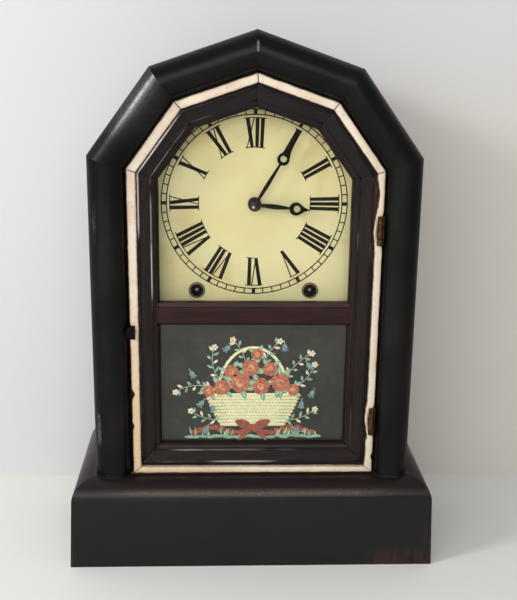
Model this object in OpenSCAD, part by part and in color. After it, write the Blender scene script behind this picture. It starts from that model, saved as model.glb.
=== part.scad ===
// Polygon-top shelf clock: a hollow base, a case with a faceted arch and half-round
// moulding, a glazed door with a pale bead, a painted dial and a two-train movement.
// X is to the right, Y to the back and Z up. The origin is on the floor, under the
// middle of the base.

/* [Base] */
// How far the base stands out on each side of the moulding
base_ledge = 17.3; // [10:0.1:24]
// How far each side of the base leans out at the floor
base_splay = 2.4; // [0:0.2:5]
// Height of the base
base_h = 70; // [60:1:90]
// Radius of the rounded top edge of the base
ovolo_r = 15; // [6:0.5:18]
// Thickness of the base's front and side boards
base_t = 20; // [16:0.5:24]
// Thickness of the deck that closes the base
deck_t = 8; // [6:0.5:12]

/* [Case] */
// Half of the case's width over the half-round moulding
case_x = 121.9; // [118:0.1:124]
// Height of the shoulder, where the upright side ends
shoulder_z = 317.6; // [300:0.2:330]
// Half of the width at the upper corner of the arch
upper_x = 76.3; // [70:0.1:84]
// Height of the upper corner of the arch
upper_z = 380.1; // [370:0.1:386]
// Height of the whole clock, at the top of the arch
apex_z = 406.4; // [400:0.2:412]
// Width of the half-round moulding
mould_w = 27.5; // [24:0.5:30]
// Distance from the base's front to the flat back of the moulding
case_setback = 23.4; // [22:0.2:26]
// How far the boards of the case lie inside the moulding's outer edge
board_inset = 3.9; // [2:0.1:6]
// Thickness of the case's sides and roof boards
board_t = 8; // [6:0.5:10]
// Thickness of the frame behind the moulding
frame_t = 8; // [6:0.5:10]
// Thickness of the back board
back_t = 6; // [4:0.5:8]
// Distance from the back board to the back of the base
back_inset = 4; // [2:0.5:8]

/* [Door] */
// Running gap between the door and the frame round it
door_gap = 0.75; // [0.6:0.05:1]
// Gap under the door
door_lift = 2; // [1.5:0.1:3]
// How far the pale bead stands proud of the frame's front plane
bead_proud = 5.8; // [5:0.1:6.5]
// Width of the pale bead
bead_w = 7.2; // [6.5:0.1:8]
// Thickness of the bead
bead_t = 4.4; // [4:0.1:5]
// Width of the door's members, from the outer edge to the glass
member_w = 22.9; // [22:0.1:26]
// Depth of the rebate that the glass lies in
rebate = 4; // [3:0.1:5]
// Thickness of the glass
glass_t = 1.6; // [1.2:0.1:2]
// Height of the middle rail's lower edge
rail_z = 190.3; // [180:0.5:195]
// Width of the middle rail between its two sight edges
rail_h = 17.6; // [14:0.2:20]

/* [Hinges and catch] */
// Length of each hinge
hinge_l = 21.6; // [18:0.6:24]
// Outer radius of the hinge barrel
barrel_r = 2.1; // [1.8:0.1:2.3]
// Radius of the hinge pin
pin_r = 0.8; // [0.6:0.05:1]
// Thickness of the hinge leaves
leaf_t = 0.6; // [0.4:0.05:0.7]
// Middle height of the lower hinge
hinge_low_z = 114.4; // [105:0.5:125]
// Middle height of the upper hinge
hinge_high_z = 264.5; // [250:0.5:275]
// Height of the turning catch
catch_z = 187.2; // [183:0.2:191]
// Radius of the catch's half-round thumb plate
catch_r = 5.3; // [4:0.1:5.4]

/* [Dial and hands] */
// Height of the dial's centre
dial_z = 280.2; // [276:0.2:284]
// Thickness of the sheet metal dial
dial_t = 1; // [0.8:0.1:1.5]
// Thickness of the wooden strips behind the frame
strip_t = 10.8; // [9:0.2:12]
// Half of the distance between the winding holes
wind_x = 43.5; // [42:0.5:45]
// Height of the winding holes
wind_z = 212.8; // [211:0.2:215]
// Radius of the winding holes in their grommets
wind_r = 4.2; // [3.8:0.1:4.6]
// Outer radius of the grommets
grommet_r = 6.3; // [5.8:0.1:7]
// Length of the minute hand
minute_l = 65; // [60:0.5:68]
// Length of the hour hand
hour_l = 41; // [36:0.5:44]
// Thickness of the hands
hand_t = 0.7; // [0.5:0.1:1]
// Angle of the minute hand, clockwise from twelve
minute_a = 31; // [0:1:359]
// Angle of the hour hand, clockwise from twelve
hour_a = 95.5; // [0:0.5:359]

/* [Movement] */
// Half of the width of the movement's plates
plate_x = 68; // [66:1:72]
// Height of the plates' lower edge
plate_low = 196; // [194:1:198]
// Height of the plates' upper edge
plate_high = 336; // [334:1:338]
// Thickness of the plates
plate_t = 1.5; // [1.2:0.1:2]
// Distance between the two plates
plate_gap = 30; // [30:0.5:31]
// Distance from the dial to the front plate
dial_gap = 11.8; // [11:0.2:12.6]
// Outer radius of the wound mainsprings
spring_r = 32; // [26:0.5:33]
// Thickness of the mainspring steel
spring_t = 0.8; // [0.5:0.05:1]
// Turns of the mainspring
spring_turns = 6; // [4:1:7]

/* [Pendulum and gong] */
// Height of the point that the pendulum swings about
swing_z = 322; // [321:0.2:323]
// Distance from the movement's rear plate to the pendulum
pendulum_gap = 12; // [11:0.5:16]
// Room between the pendulum and the back board, for the bob and the gong
back_room = 12; // [11:0.5:24]
// Length of the pendulum from that point to the bob's middle
pendulum_l = 152; // [145:0.5:154]
// Radius of the bob
bob_r = 20; // [16:0.5:22]
// Thickness of the bob in the middle
bob_t = 8; // [6:0.5:9]
// Outer radius of the coiled gong
gong_r = 28; // [24:0.5:29]
// Height of the gong's middle
gong_z = 110; // [106:0.5:112]
// Turns of the gong's coil
gong_turns = 4; // [3:1:5]

/* [Hidden] */
$fn = 48;

ebony = "#2b2827";
dark_wood = "#3a2724";
pine = "#8d6a48";
cream = "#e2cdb0";
ivory = "#e0d8a4";
brass = "#b08d4a";
old_brass = "#5c4428";
steel = "#6f7378";
blued = "#1a1a1c";

base_w = 2 * (case_x + base_ledge);
base_d = case_setback + frame_t + strip_t + dial_t + dial_gap + plate_gap + 2 * plate_t
         + pendulum_gap + back_room + back_t + back_inset;

// Depth of each layer of the clock, counted from the front of the base
front = -base_d / 2;
case_front = front + case_setback;
frame_back = case_front + frame_t;
door_front = case_front - bead_proud;
door_back = frame_back - 0.4;
glass_y = door_back - 4;
board_back = -front - back_inset;
board_front = board_back - back_t;
dial_y = frame_back + strip_t;
plate_y = dial_y + dial_t + dial_gap;
inside_y = plate_y + plate_t;
rear_y = inside_y + plate_gap;
pendulum_y = rear_y + plate_t + pendulum_gap;
clear = 0.3;
glue_line = 0.05;
more = 1;

// Points in the plane of the front, as [x, z]
function unit(v) = v / norm(v);
function left_of(v) = [-v[1], v[0]];
function corner_in(a, b, c, d) =
    let (m = left_of(unit(b - a)), n = left_of(unit(c - b))) b + d * (m + n) / (1 + m * n);
function outline(half, low, shoulder, up_x, up_z, top) =
    [[-half, low], [half, low], [half, shoulder], [up_x, up_z], [0, top],
     [-up_x, up_z], [-half, shoulder]];
function inset(pts, d) = let (n = len(pts))
    [for (i = [0 : n - 1]) corner_in(pts[(i + n - 1) % n], pts[i], pts[(i + 1) % n], d)];
function seated(pts, d, low) = let (p = inset(pts, d))
    [for (i = [0 : len(p) - 1]) i < 2 ? [p[i][0], low] : p[i]];
function meet(p, rp, q, rq, side) =
    let (d = norm(q - p), a = (rp * rp - rq * rq + d * d) / (2 * d), u = unit(q - p))
    p + a * u + side * sqrt(rp * rp - a * a) * left_of(u);

case_line = outline(case_x, base_h, shoulder_z, upper_x, upper_z, apex_z);
board_line = seated(case_line, board_inset, base_h);
board_in = seated(case_line, board_inset + board_t, base_h);
frame_in = seated(case_line, mould_w + 0.2, base_h);
door_line = seated(case_line, mould_w + door_gap, base_h + door_lift);
sight = inset(door_line, member_w);
glass_line = inset(door_line, member_w - rebate + clear);
door_x = door_line[1][0];
jamb_x = frame_in[1][0];

// Turns a drawing of the front plane into a slab from depth y to y + t
module slab(y, t) {
    translate([0, y + t, 0]) rotate([90, 0, 0]) linear_extrude(t) children();
}

// A straight member along the side from p to q: its section is [depth, distance inwards]
module member(p, q, over) {
    v = q - p;
    translate([p[0], 0, p[1]]) rotate([0, -atan2(v[1], v[0]), 0]) rotate([90, 0, 90])
        translate([0, 0, -over]) linear_extrude(norm(v) + 2 * over) children();
}

// The space between two outlines on side i, cut at the mitres, over a range of depth
module bay(outer, inner, i, y, t) {
    j = (i + 1) % len(outer);
    e = glue_line / 2 * unit(outer[j] - outer[i]);
    slab(y, t) polygon([outer[i] + e, outer[j] - e, inner[j] - e, inner[i] + e]);
}

// A moulded member on side i of a line, cut at its mitres by the wider outlines
module mitred(line, outer, inner, i, y, t) {
    intersection() {
        member(line[i], line[(i + 1) % len(line)], 3 * mould_w) children();
        bay(outer, inner, i, y, t);
    }
}

module along_y(x, z, y, t, r) {
    translate([x, y, z]) rotate([-90, 0, 0]) cylinder(h = t, r = r);
}

module rod(p, q, r) {
    v = q - p;
    translate(p) rotate([0, acos(v[2] / norm(v)), atan2(v[1], v[0])]) cylinder(h = norm(v), r = r);
}

// ---- Base ----

module base_section() {
    r = ovolo_r;
    difference() {
        polygon([[-base_splay, 0], [0, base_h - r], [0, base_h], [base_t, base_h],
                 [base_t, 0]]);
        difference() {
            translate([-more, base_h - r]) square([r + more, r + more]);
            translate([r, base_h - r]) circle(r, $fn = 96);
        }
    }
}

module base_side(side) {
    x = base_w / 2;
    color(ebony) mirror([side < 0 ? 1 : 0, 0, 0]) difference() {
        translate([x, -front, 0]) rotate([90, 0, 0]) linear_extrude(base_d)
            mirror([1, 0]) base_section();
        translate([0, 0, -more]) linear_extrude(base_h + 2 * more)
            polygon([[x, front], [x - 2 * base_t, front + 2 * base_t],
                     [x - 2 * base_t, front - base_t], [x, front - base_t]]);
    }
}

module base_front() {
    x = base_w / 2;
    color(ebony) intersection() {
        translate([-x, 0, 0]) rotate([90, 0, 90]) linear_extrude(base_w)
            translate([front, 0]) difference() {
                base_section();
                translate([-2 * base_splay, -more]) square([2 * base_splay, base_h + 2 * more]);
            }
        translate([0, 0, -more]) linear_extrude(base_h + 2 * more)
            polygon([[-x, front], [x, front], [x - base_t, front + base_t],
                     [base_t - x, front + base_t]]);
    }
}

module base_rear_rail() {
    w = base_w - 2 * base_t;
    t = -front - board_front;
    color(pine) translate([-w / 2, -front - t, 0]) cube([w, t, base_h]);
}

module base_deck() {
    w = base_w - 2 * base_t;
    y = front + base_t;
    color(pine) translate([-w / 2, y, base_h - deck_t]) cube([w, board_front - y, deck_t]);
}

// Square blocks glued into the corners, under the deck
module base_glue_blocks() {
    s = 14;
    x = base_w / 2 - base_t - s;
    h = base_h - deck_t - 6;
    color(pine) for (side = [-1, 1], y = [front + base_t, board_front - s])
        translate([side > 0 ? x : -x - s, y, base_h - deck_t - h]) cube([s, s, h]);
}

// ---- Case ----

module case_board(i) {
    bay(board_line, board_in, i, frame_back, board_front - frame_back);
}

module case_side_left() { color(ebony) case_board(6); }
module case_side_right() { color(ebony) case_board(1); }
module roof_boards() { color(ebony) for (i = [2 : 5]) case_board(i); }

module back_board() {
    color(pine) slab(board_front, back_t) polygon(board_line);
}

module front_frame() {
    color(ebony) for (i = [1 : 6]) difference() {
        bay(board_line, frame_in, i, case_front, frame_t);
        if (i == 1) hinge_mortises();
    }
}

module half_round(i) {
    color(ebony) difference() {
        mitred(case_line, seated(case_line, -more, base_h), seated(case_line, mould_w + more, base_h),
               i, case_front - mould_w, mould_w)
            translate([case_front, mould_w / 2]) circle(mould_w / 2, $fn = 96);
        if (i == 1) hinge_mortises();
    }
}

// Wooden strips behind the frame stop the door and carry the dial
strip_in = jamb_x - 6;
strip_out = jamb_x + 10;
strip_gap = 36;
strip_top = shoulder_z - 16;

module dial_strips() {
    t = strip_t;
    w = strip_out - strip_in;
    color(pine) difference() {
        union() {
            translate([-strip_out, frame_back, base_h])
                cube([w, t, catch_z - strip_gap / 2 - base_h]);
            translate([-strip_out, frame_back, catch_z + strip_gap / 2])
                cube([w, t, strip_top - catch_z - strip_gap / 2]);
            translate([strip_in, frame_back, base_h]) cube([w, t, strip_top - base_h]);
            for (i = [3 : 4]) bay(inset(case_line, mould_w - 9), inset(case_line, mould_w + 5), i,
                                  frame_back, t);
        }
        for (side = [-1, 1], z = dial_screw_zs)
            along_y(side * dial_screw_x, z, dial_y - dial_screw_l, dial_screw_l + more, 1.4);
    }
}

dial_low = rail_z + 4;
dial_line = seated(case_line, mould_w - 5, dial_low);
dial_screw_x = (strip_in + dial_line[1][0]) / 2;
dial_screw_zs = [catch_z + 26, strip_top - 8];
dial_screw_l = 8;

module dial_plate() {
    color(ivory) difference() {
        slab(dial_y, dial_t) polygon(dial_line);
        along_y(0, dial_z, dial_y - more, dial_t + 2 * more, 5);
        for (side = [-1, 1]) {
            along_y(side * wind_x, wind_z, dial_y - more, dial_t + 2 * more, wind_r + 1);
            for (z = dial_screw_zs)
                along_y(side * dial_screw_x, z, dial_y - more, dial_t + 2 * more, 1.6);
        }
    }
}

module winding_grommets() {
    color(old_brass) for (side = [-1, 1]) difference() {
        union() {
            translate([side * wind_x, dial_y, wind_z]) rotate([90, 0, 0]) rotate_extrude()
                translate([grommet_r - 1, 0]) intersection() {
                    circle(1);
                    translate([-2, 0]) square(4);
                }
            along_y(side * wind_x, wind_z, dial_y - 0.9, 0.9, grommet_r - 1);
            along_y(side * wind_x, wind_z, dial_y - 0.5, dial_t + 1, wind_r + 1);
        }
        along_y(side * wind_x, wind_z, dial_y - 4, dial_t + 8, wind_r);
    }
}

// ---- Fasteners: four dial screws, four movement screws and the gong's screw ----

block_x = [plate_x - 16, plate_x - 2];
block_z = [[plate_low + 1, plate_low + 15], [plate_high - 15, plate_high - 1]];

module screw_back(x, z, y, l, r) {
    along_y(x, z, y, l, r);
    along_y(x, z, y - 1.2, 1.2, r + 1.3);
}

module screws() {
    color(steel) {
        for (side = [-1, 1], z = dial_screw_zs) {
            along_y(side * dial_screw_x, z, dial_y - dial_screw_l, dial_screw_l + dial_t, 1.4);
            along_y(side * dial_screw_x, z, dial_y + dial_t, 1.2, 2.6);
        }
        for (side = [-1, 1], z = block_z)
            screw_back(side * (block_x[0] + block_x[1]) / 2, (z[0] + z[1]) / 2,
                       rear_y, 14, 1.5);
    }
}

module movement_blocks() {
    y = rear_y + plate_t;
    color(pine) for (side = [-1, 1], z = block_z) difference() {
        translate([side > 0 ? block_x[0] : -block_x[1], y, z[0]])
            cube([block_x[1] - block_x[0], board_front - y, z[1] - z[0]]);
        along_y(side * (block_x[0] + block_x[1]) / 2, (z[0] + z[1]) / 2,
                y - more, 14 - plate_t + more, 1.5);
    }
}

// ---- Gong ----

function spiral(r0, r1, turns, t, steps) = concat(
    [for (i = [0 : turns * steps]) let (a = 360 * i / steps, r = r0 + (r1 - r0 - t) * i / turns / steps)
        [r * cos(a), r * sin(a)]],
    [for (i = [turns * steps : -1 : 0]) let (a = 360 * i / steps, r = r0 + t + (r1 - r0 - t) * i / turns / steps)
        [r * cos(a), r * sin(a)]]);

gong_y = board_front - 10.5;
gong_wire = 2;
gong_hub = 4.5;
gong_h = 3;

module gong_block() {
    color("#3b3d3f") {
        translate([-14, board_front - 5, gong_z - 11]) cube([28, 5, 22]);
        along_y(0, gong_z, gong_y - 1.5, board_front - gong_y + 1, gong_hub);
    }
}

module gong_coil() {
    color(steel) translate([0, gong_y + gong_h, gong_z]) rotate([90, 0, 0]) linear_extrude(gong_h)
        rotate(180) polygon(spiral(gong_hub, gong_r, gong_turns, gong_wire, 24));
}

// ---- Door ----

// Section of the door's members: [depth, distance from the outer edge]
door_section = let (y = door_front, w = member_w, b = bead_w, s = y + bead_t) concat(
    [[door_back, 0], [s, 0], [s, b + 0.1], [y + 2, b + 0.1], [y + 2, b + 0.8],
     [y + 0.9, b + 1], [y + 0.9, b + 1.8], [y + 1.6, b + 2.2], [y + 3, w - 5.8],
     [y + 3, w - 5.2], [y + 4, w - 4.8]],
    [for (a = [0 : 15 : 90]) [y + 4 + 4 * (1 - cos(a)), w - 4.8 + 4.8 * sin(a)]],
    [[glass_y, w], [glass_y, w - rebate], [door_back, w - rebate]]);

bead_section = let (y = door_front, b = bead_w)
    [[y + bead_t, 0], [y + 0.7, 0], [y, 1], [y, b - 1.6], [y + 0.6, b], [y + bead_t, b]];

function door_t() = door_back - door_front;

module door_member(i) {
    mitred(door_line, inset(door_line, -more), inset(door_line, member_w + more), i,
           door_front - more, door_t() + more) polygon(door_section);
}

module door_stile(i) {
    color(dark_wood) difference() {
        door_member(i);
        hinge_mortises();
        catch_bore();
        rail_mortise();
    }
}

module door_stile_left() { door_stile(6); }
module door_stile_right() { door_stile(1); }
module door_bottom_rail() { color(dark_wood) door_member(0); }
module door_arch_rails() { color(dark_wood) for (i = [2 : 5]) door_member(i); }

rail_x = sight[1][0] + 6;
rail_y = door_front + bead_t + 0.4;
rail_top = rail_z + rail_h;

module rail_mortise() {
    translate([-rail_x, rail_y, rail_z]) cube([2 * rail_x, door_back - rail_y, rail_h]);
}

module door_mid_rail() {
    y = rail_y;
    color("#462826") intersection() {
        translate([-rail_x, 0, rail_z]) rotate([90, 0, 90]) linear_extrude(2 * rail_x)
            polygon([[y + 2, 0], [y + 0.4, 1.6], [y, 3.4], [y, rail_h - 4.2],
                     [y + 1, rail_h - 3.6], [y + 2.6, rail_h], [glass_y, rail_h],
                     [glass_y, rail_h - rebate], [door_back, rail_h - rebate],
                     [door_back, rebate], [glass_y, rebate], [glass_y, 0]]);
        translate([-rail_x, y, rail_z]) cube([2 * rail_x, door_back - y, rail_h]);
    }
}

module door_bead() {
    color(cream) for (i = [0 : 6]) difference() {
        mitred(door_line, inset(door_line, -more), inset(door_line, bead_w + more), i,
               door_front - more, bead_t + more) polygon(bead_section);
        if (i == 1) hinge_mortises();
        if (i == 6) catch_notch();
    }
}

module upper_glass() {
    color("#dfe8e4", 0.3) slab(glass_y, glass_t) intersection() {
        polygon(glass_line);
        translate([-case_x, rail_top - rebate + clear]) square([2 * case_x, apex_z]);
    }
}

module tablet_glass() {
    x = glass_line[1][0];
    z = glass_line[1][1];
    color("#474a46") slab(glass_y, glass_t) translate([-x, z])
        square([2 * x, rail_z + rebate - clear - z]);
}

// Thin strips that hold the glass in its rebates
module glazing_strips() {
    outer = inset(door_line, member_w - rebate);
    inner = inset(door_line, member_w - 0.4);
    y = glass_y + glass_t;
    color(dark_wood) {
        for (i = [0 : 6]) difference() {
            bay(outer, inner, i, y, door_back - y);
            translate([-case_x, y - more, rail_z]) cube([2 * case_x, 10, rail_h]);
        }
        for (z = [rail_z + 0.4, rail_top - rebate])
            translate([-inner[1][0], y, z])
                cube([2 * inner[1][0], door_back - y, rebate - 0.4]);
    }
}

// ---- Hinges: two knuckles on the case, one on the door, and a loose pin ----

hinge_x = door_x - barrel_r;
hinge_y = door_front - 0.6;
hinge_zs = [hinge_low_z, hinge_high_z];
knuckle_l = hinge_l / 3;
knuckle_gap = 0.15;
leaf_back = door_back - 1.5;

// Room for both leaves and the barrel, in the door and in the case
module hinge_mortises() {
    for (z = hinge_zs) translate([0, 0, z - hinge_l / 2 - 0.3]) {
        h = hinge_l + 0.6;
        translate([hinge_x, hinge_y, 0]) cylinder(h = h, r = barrel_r + 0.4);
        translate([hinge_x, hinge_y, 0]) cube([barrel_r + more, barrel_r + 0.4, h]);
        translate([door_x - leaf_t, hinge_y, 0]) cube([leaf_t + 0.4, leaf_back - hinge_y + 0.1, h]);
        translate([jamb_x - 0.4, hinge_y, 0]) cube([leaf_t + 0.4, leaf_back - hinge_y + 0.1, h]);
    }
}

module knuckle(z, l) {
    difference() {
        union() {
            translate([hinge_x, hinge_y, z]) cylinder(h = l, r = barrel_r);
            children();
        }
        translate([hinge_x, hinge_y, z - hinge_l]) cylinder(h = 3 * hinge_l, r = pin_r + 0.05);
    }
}

module hinge_case_leaves() {
    l = knuckle_l - knuckle_gap;
    x = jamb_x - 0.05;
    color(old_brass) for (z = hinge_zs) difference() {
        union() {
            for (k = [-hinge_l / 2, hinge_l / 2 - l]) {
                translate([hinge_x, hinge_y, z + k]) cylinder(h = l, r = barrel_r);
                translate([hinge_x, hinge_y + barrel_r - leaf_t, z + k])
                    cube([x + leaf_t - hinge_x, leaf_t, l]);
            }
            translate([x, hinge_y + barrel_r - leaf_t, z - hinge_l / 2])
                cube([leaf_t, leaf_back - hinge_y - barrel_r + leaf_t, hinge_l]);
        }
        translate([hinge_x, hinge_y, z - hinge_l]) cylinder(h = 2 * hinge_l, r = pin_r + 0.05);
    }
}

module hinge_door_leaves() {
    l = knuckle_l - 2 * knuckle_gap;
    color(old_brass) for (z = hinge_zs) knuckle(z - l / 2, l) {
        translate([door_x - leaf_t, hinge_y, z - l / 2]) cube([leaf_t, 2 * barrel_r, l]);
        translate([door_x - leaf_t, hinge_y + barrel_r + 0.6, z - hinge_l / 2])
            cube([leaf_t, leaf_back - hinge_y - barrel_r - 0.6, hinge_l]);
    }
}

module hinge_pins() {
    color(old_brass) for (z = hinge_zs)
        translate([hinge_x, hinge_y, z - hinge_l / 2 - 0.2])
            cylinder(h = hinge_l + 0.4, r = pin_r);
}

// ---- Catch: a half-round thumb plate, a shaft and a tongue behind the door ----

catch_x = -(door_x - 3.4);
catch_shaft = 1.4;
catch_y = door_front - 4;

module catch_bore() {
    along_y(catch_x, catch_z, door_front - more, door_t() + 2 * more, catch_shaft + 0.08);
}

module catch_notch() {
    translate([-door_x - more, door_front - more, catch_z - catch_r - 0.8])
        cube([more + 2.6, bead_t + 2 * more, 2 * catch_r + 1.6]);
    catch_bore();
}

module door_catch() {
    color(old_brass) {
        intersection() {
            along_y(catch_x, catch_z, catch_y, 1.6, catch_r);
            translate([catch_x - 2 * catch_r, catch_y - more, catch_z - catch_r])
                cube([2 * catch_r + 1.4, 4, 2 * catch_r]);
        }
        along_y(catch_x, catch_z, catch_y + 1, frame_back + 1.9 - catch_y - 1, catch_shaft);
        hull() {
            along_y(catch_x, catch_z, frame_back + 0.5, 1.4, 2.2);
            along_y(catch_x, catch_z - 9, frame_back + 0.5, 1.4, 1.6);
        }
    }
}

// ---- Wheels ----

// Outline of a wheel's teeth: n teeth of module m, with one tooth at angle a
function tooth(n, m, a) = let (r = n * m / 2) [for (k = [0 : n - 1])
    each [for (c = [[r - 1.15 * m, -0.48], [r, -0.36], [r + 0.85 * m, -0.14],
                    [r + 0.85 * m, 0.14], [r, 0.36], [r - 1.15 * m, 0.48]])
        let (t = a + 360 * k / n + c[1] * m / c[0] * 180 / PI) [c[0] * cos(t), c[0] * sin(t)]]];

// Angle of the gap of a pinion of n leaves that meets a wheel of N teeth turned to a
function mesh(from, to, a, N, n) =
    let (t = atan2(to[1] - from[1], to[0] - from[0]), p = 360 / N, d = (t - a) - p * floor((t - a) / p))
    t + 180 + d * N / n + 180 / n;

// A wheel or disc is drawn in the front plane, seen from the front, at depth s
module at(c, s, t) {
    translate([c[0], 0, c[1]]) slab(inside_y + s, t) children();
}

module crossed(n, m, a, hub) {
    r = n * m / 2 - 1.15 * m;
    difference() {
        polygon(tooth(n, m, a));
        if (r > 12) for (k = [0 : 4]) intersection() {
            difference() {
                circle(r - 2.2);
                circle(hub + 2);
            }
            rotate(72 * k + 7 + a) polygon([[0, 0], 2 * r * [1, 0], 2 * r * [cos(29), sin(29)],
                                          2 * r * [cos(58), sin(58)]]);
        }
    }
}

// A lantern pinion: round trundles between two discs
module lantern(c, n, m, a, s, l) {
    r = n * m / 2;
    for (e = [s, s + l - 0.8]) at(c, e, 0.8) circle(r + 0.45 * m);
    at(c, s, l) for (k = [0 : n - 1]) rotate(a + 360 * k / n) translate([r, 0]) circle(0.3 * m, $fn = 16);
    at(c, s, l) circle(r - 0.9 * m);
}

module arbor(c, r, from, to) {
    along_y(c[0], c[1], inside_y + from, to - from, r);
}

module pivoted(c, r) {
    arbor(c, r, clear, plate_gap - clear);
    arbor(c, 0.7, -plate_t, plate_gap + plate_t);
}

great_n = 72;
great_m = 0.85;
great_p = 12;
second_n = 64;
second_m = 0.95;
centre_n = 32;
leaves = 8;
fine_n = 48;
third_m = 0.8;
fourth_m = 0.7;
great_c = [wind_x, wind_z];
centre_c = [0, dial_z];
escape_c = [0, swing_z - 20];
second_c = meet(great_c, (great_n + great_p) * great_m / 2,
                centre_c, (second_n + centre_n) * second_m / 2, -1);
fourth_c = escape_c + (fine_n + leaves) * fourth_m / 2 * [cos(14), -sin(14)];
third_c = meet(second_c, (second_n + leaves) * second_m / 2,
               fourth_c, (fine_n + leaves) * third_m / 2, -1);
escape_n = 32;
escape_r = 14.5;
fly_c = third_c + (fine_n + leaves) * third_m / 2 * [cos(60), sin(60)];

great_a = 0;
second_pa = mesh(great_c, second_c, great_a, great_n, great_p);
second_a = 0;
centre_a = mesh(second_c, centre_c, second_a, second_n, centre_n);
third_pa = mesh(second_c, third_c, second_a, second_n, leaves);
third_a = 0;
fourth_pa = mesh(third_c, fourth_c, third_a, fine_n, leaves);
fourth_a = 0;
escape_pa = mesh(fourth_c, escape_c, fourth_a, fine_n, leaves);
fly_pa = mesh(third_c, fly_c, third_a, fine_n, leaves);

great_s = 2.5;
spring_s = 8;
spring_h = 16;
second_s = 27.4;
strike_second_s = 25;
third_s = 20;
fourth_s = 12;
escape_s = 4.6;

module great_wheel() {
    at(great_c, great_s, 2) crossed(great_n, great_m, great_a, 9);
    at(great_c, great_s + 2, 1.6) circle(9);
    arbor(great_c, 2.4, clear, plate_gap - clear);
    arbor(great_c, 1.8, -plate_t, plate_gap + plate_t);
    arbor(great_c, 1.8, dial_y + 6 - inside_y, 0);
    translate([great_c[0], dial_y + 6, great_c[1]]) cube([3.6, 8, 3.6], center = true);
}

module second_wheel(s) {
    at(second_c, s, 1.2) crossed(second_n, second_m, second_a, 3);
    lantern(second_c, great_p, great_m, second_pa, 1.4, 4.2);
    pivoted(second_c, 1.6);
}

module third_wheel(shift) {
    at(third_c, third_s - shift, 1.2) crossed(fine_n, third_m, third_a, 3);
    lantern(third_c, leaves, second_m, third_pa, second_s - 1.4 - shift, 3.6);
    pivoted(third_c, 1.3);
}

module time_great_wheel() { color(brass) great_wheel(); }
module time_second_wheel() { color(brass) second_wheel(second_s); }
module time_third_wheel() { color(brass) third_wheel(0); }

module time_fourth_wheel() {
    color(brass) {
        at(fourth_c, fourth_s, 1) crossed(fine_n, fourth_m, fourth_a, 3);
        lantern(fourth_c, leaves, third_m, fourth_pa, third_s - 1.4, 4);
        pivoted(fourth_c, 1.1);
    }
}

module centre_wheel() {
    color(brass) {
        at(centre_c, second_s, 1.2) crossed(centre_n, second_m, centre_a, 3);
        arbor(centre_c, 2, clear, plate_gap - clear);
        arbor(centre_c, 1.2, minute_y - 1 - inside_y, plate_gap + plate_t);
    }
}

module escape_wheel() {
    color(brass) {
        at(escape_c, escape_s, 0.8) difference() {
            polygon([for (k = [0 : escape_n - 1])
                each [for (c = [[escape_r - 3, 0], [escape_r, 0.12], [escape_r - 3, 0.62]])
                    let (t = 360 * (k + c[1]) / escape_n) c[0] * [cos(t), sin(t)]]]);
            for (k = [0 : 3]) rotate(90 * k + 45) translate([6.6, 0]) circle(2.8);
        }
        lantern(escape_c, leaves, fourth_m, escape_pa, fourth_s - 1.4, 3.8);
        pivoted(escape_c, 0.9);
    }
}

// The strike train is the time train's mirror image, with a count wheel and a fly
module strike() {
    color(brass) mirror([1, 0, 0]) children();
}

count_r = 19;

module strike_great_wheel() {
    strike() {
        great_wheel();
        at(great_c, great_s + 3.4, 0.9) difference() {
            circle(count_r);
            for (a = [20, 40, 75, 125, 190, 270]) rotate(a) translate([count_r, 0]) square([4, 2], center = true);
            for (k = [0 : 4]) rotate(72 * k + 50) translate([13, 0]) circle(3.2);
        }
    }
}

module strike_second_wheel() { strike() second_wheel(strike_second_s); }
module strike_third_wheel() { strike() third_wheel(second_s - strike_second_s); }

// The last arbor of the strike train turns the fly, a flat vane that brakes it
module fly() {
    strike() {
        lantern(fly_c, leaves, third_m, fly_pa, third_s - 1.4 - second_s + strike_second_s, 4);
        pivoted(fly_c, 1.1);
        at(fly_c, 4, 10) square([24, 0.8], center = true);
    }
}

// ---- Plates, springs and motion work ----

module pivot_holes(y) {
    for (side = [-1, 1]) {
        along_y(side * great_c[0], great_c[1], y - more, plate_t + 2 * more, 1.88);
        for (c = [second_c, third_c])
            along_y(side * c[0], c[1], y - more, plate_t + 2 * more, 0.76);
    }
    for (c = [fourth_c, escape_c, [-fly_c[0], fly_c[1]], motion_c])
        along_y(c[0], c[1], y - more, plate_t + 2 * more, 0.76);
    along_y(0, dial_z, y - more, plate_t + 2 * more, 1.28);
    along_y(0, swing_z, y - more, plate_t + 2 * more, verge_r + 0.08);
    along_y(hammer_c[0], hammer_c[1], y - more, plate_t + 2 * more, verge_r + 0.08);
}

pillar_r = 3;
pillars = [[0, plate_low + 6], [4 - plate_x, wind_z + 49], [plate_x - 4, wind_z + 49],
           [5 - plate_x, plate_high - 22], [plate_x - 5, plate_high - 22]];

module plate_shape() {
    difference() {
        translate([-plate_x, plate_low]) square([2 * plate_x, plate_high - plate_low]);
        for (side = [-1, 1]) {
            translate([side * 54, wind_z + 25]) circle(6);
            translate([side * 14, plate_low + 28]) circle(9);
        }
    }
}

module front_plate() {
    color(brass) difference() {
        slab(plate_y, plate_t) plate_shape();
        pivot_holes(plate_y);
        for (p = pillars) along_y(p[0], p[1], plate_y - more, plate_t + 2 * more, 1.5);
    }
}

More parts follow.
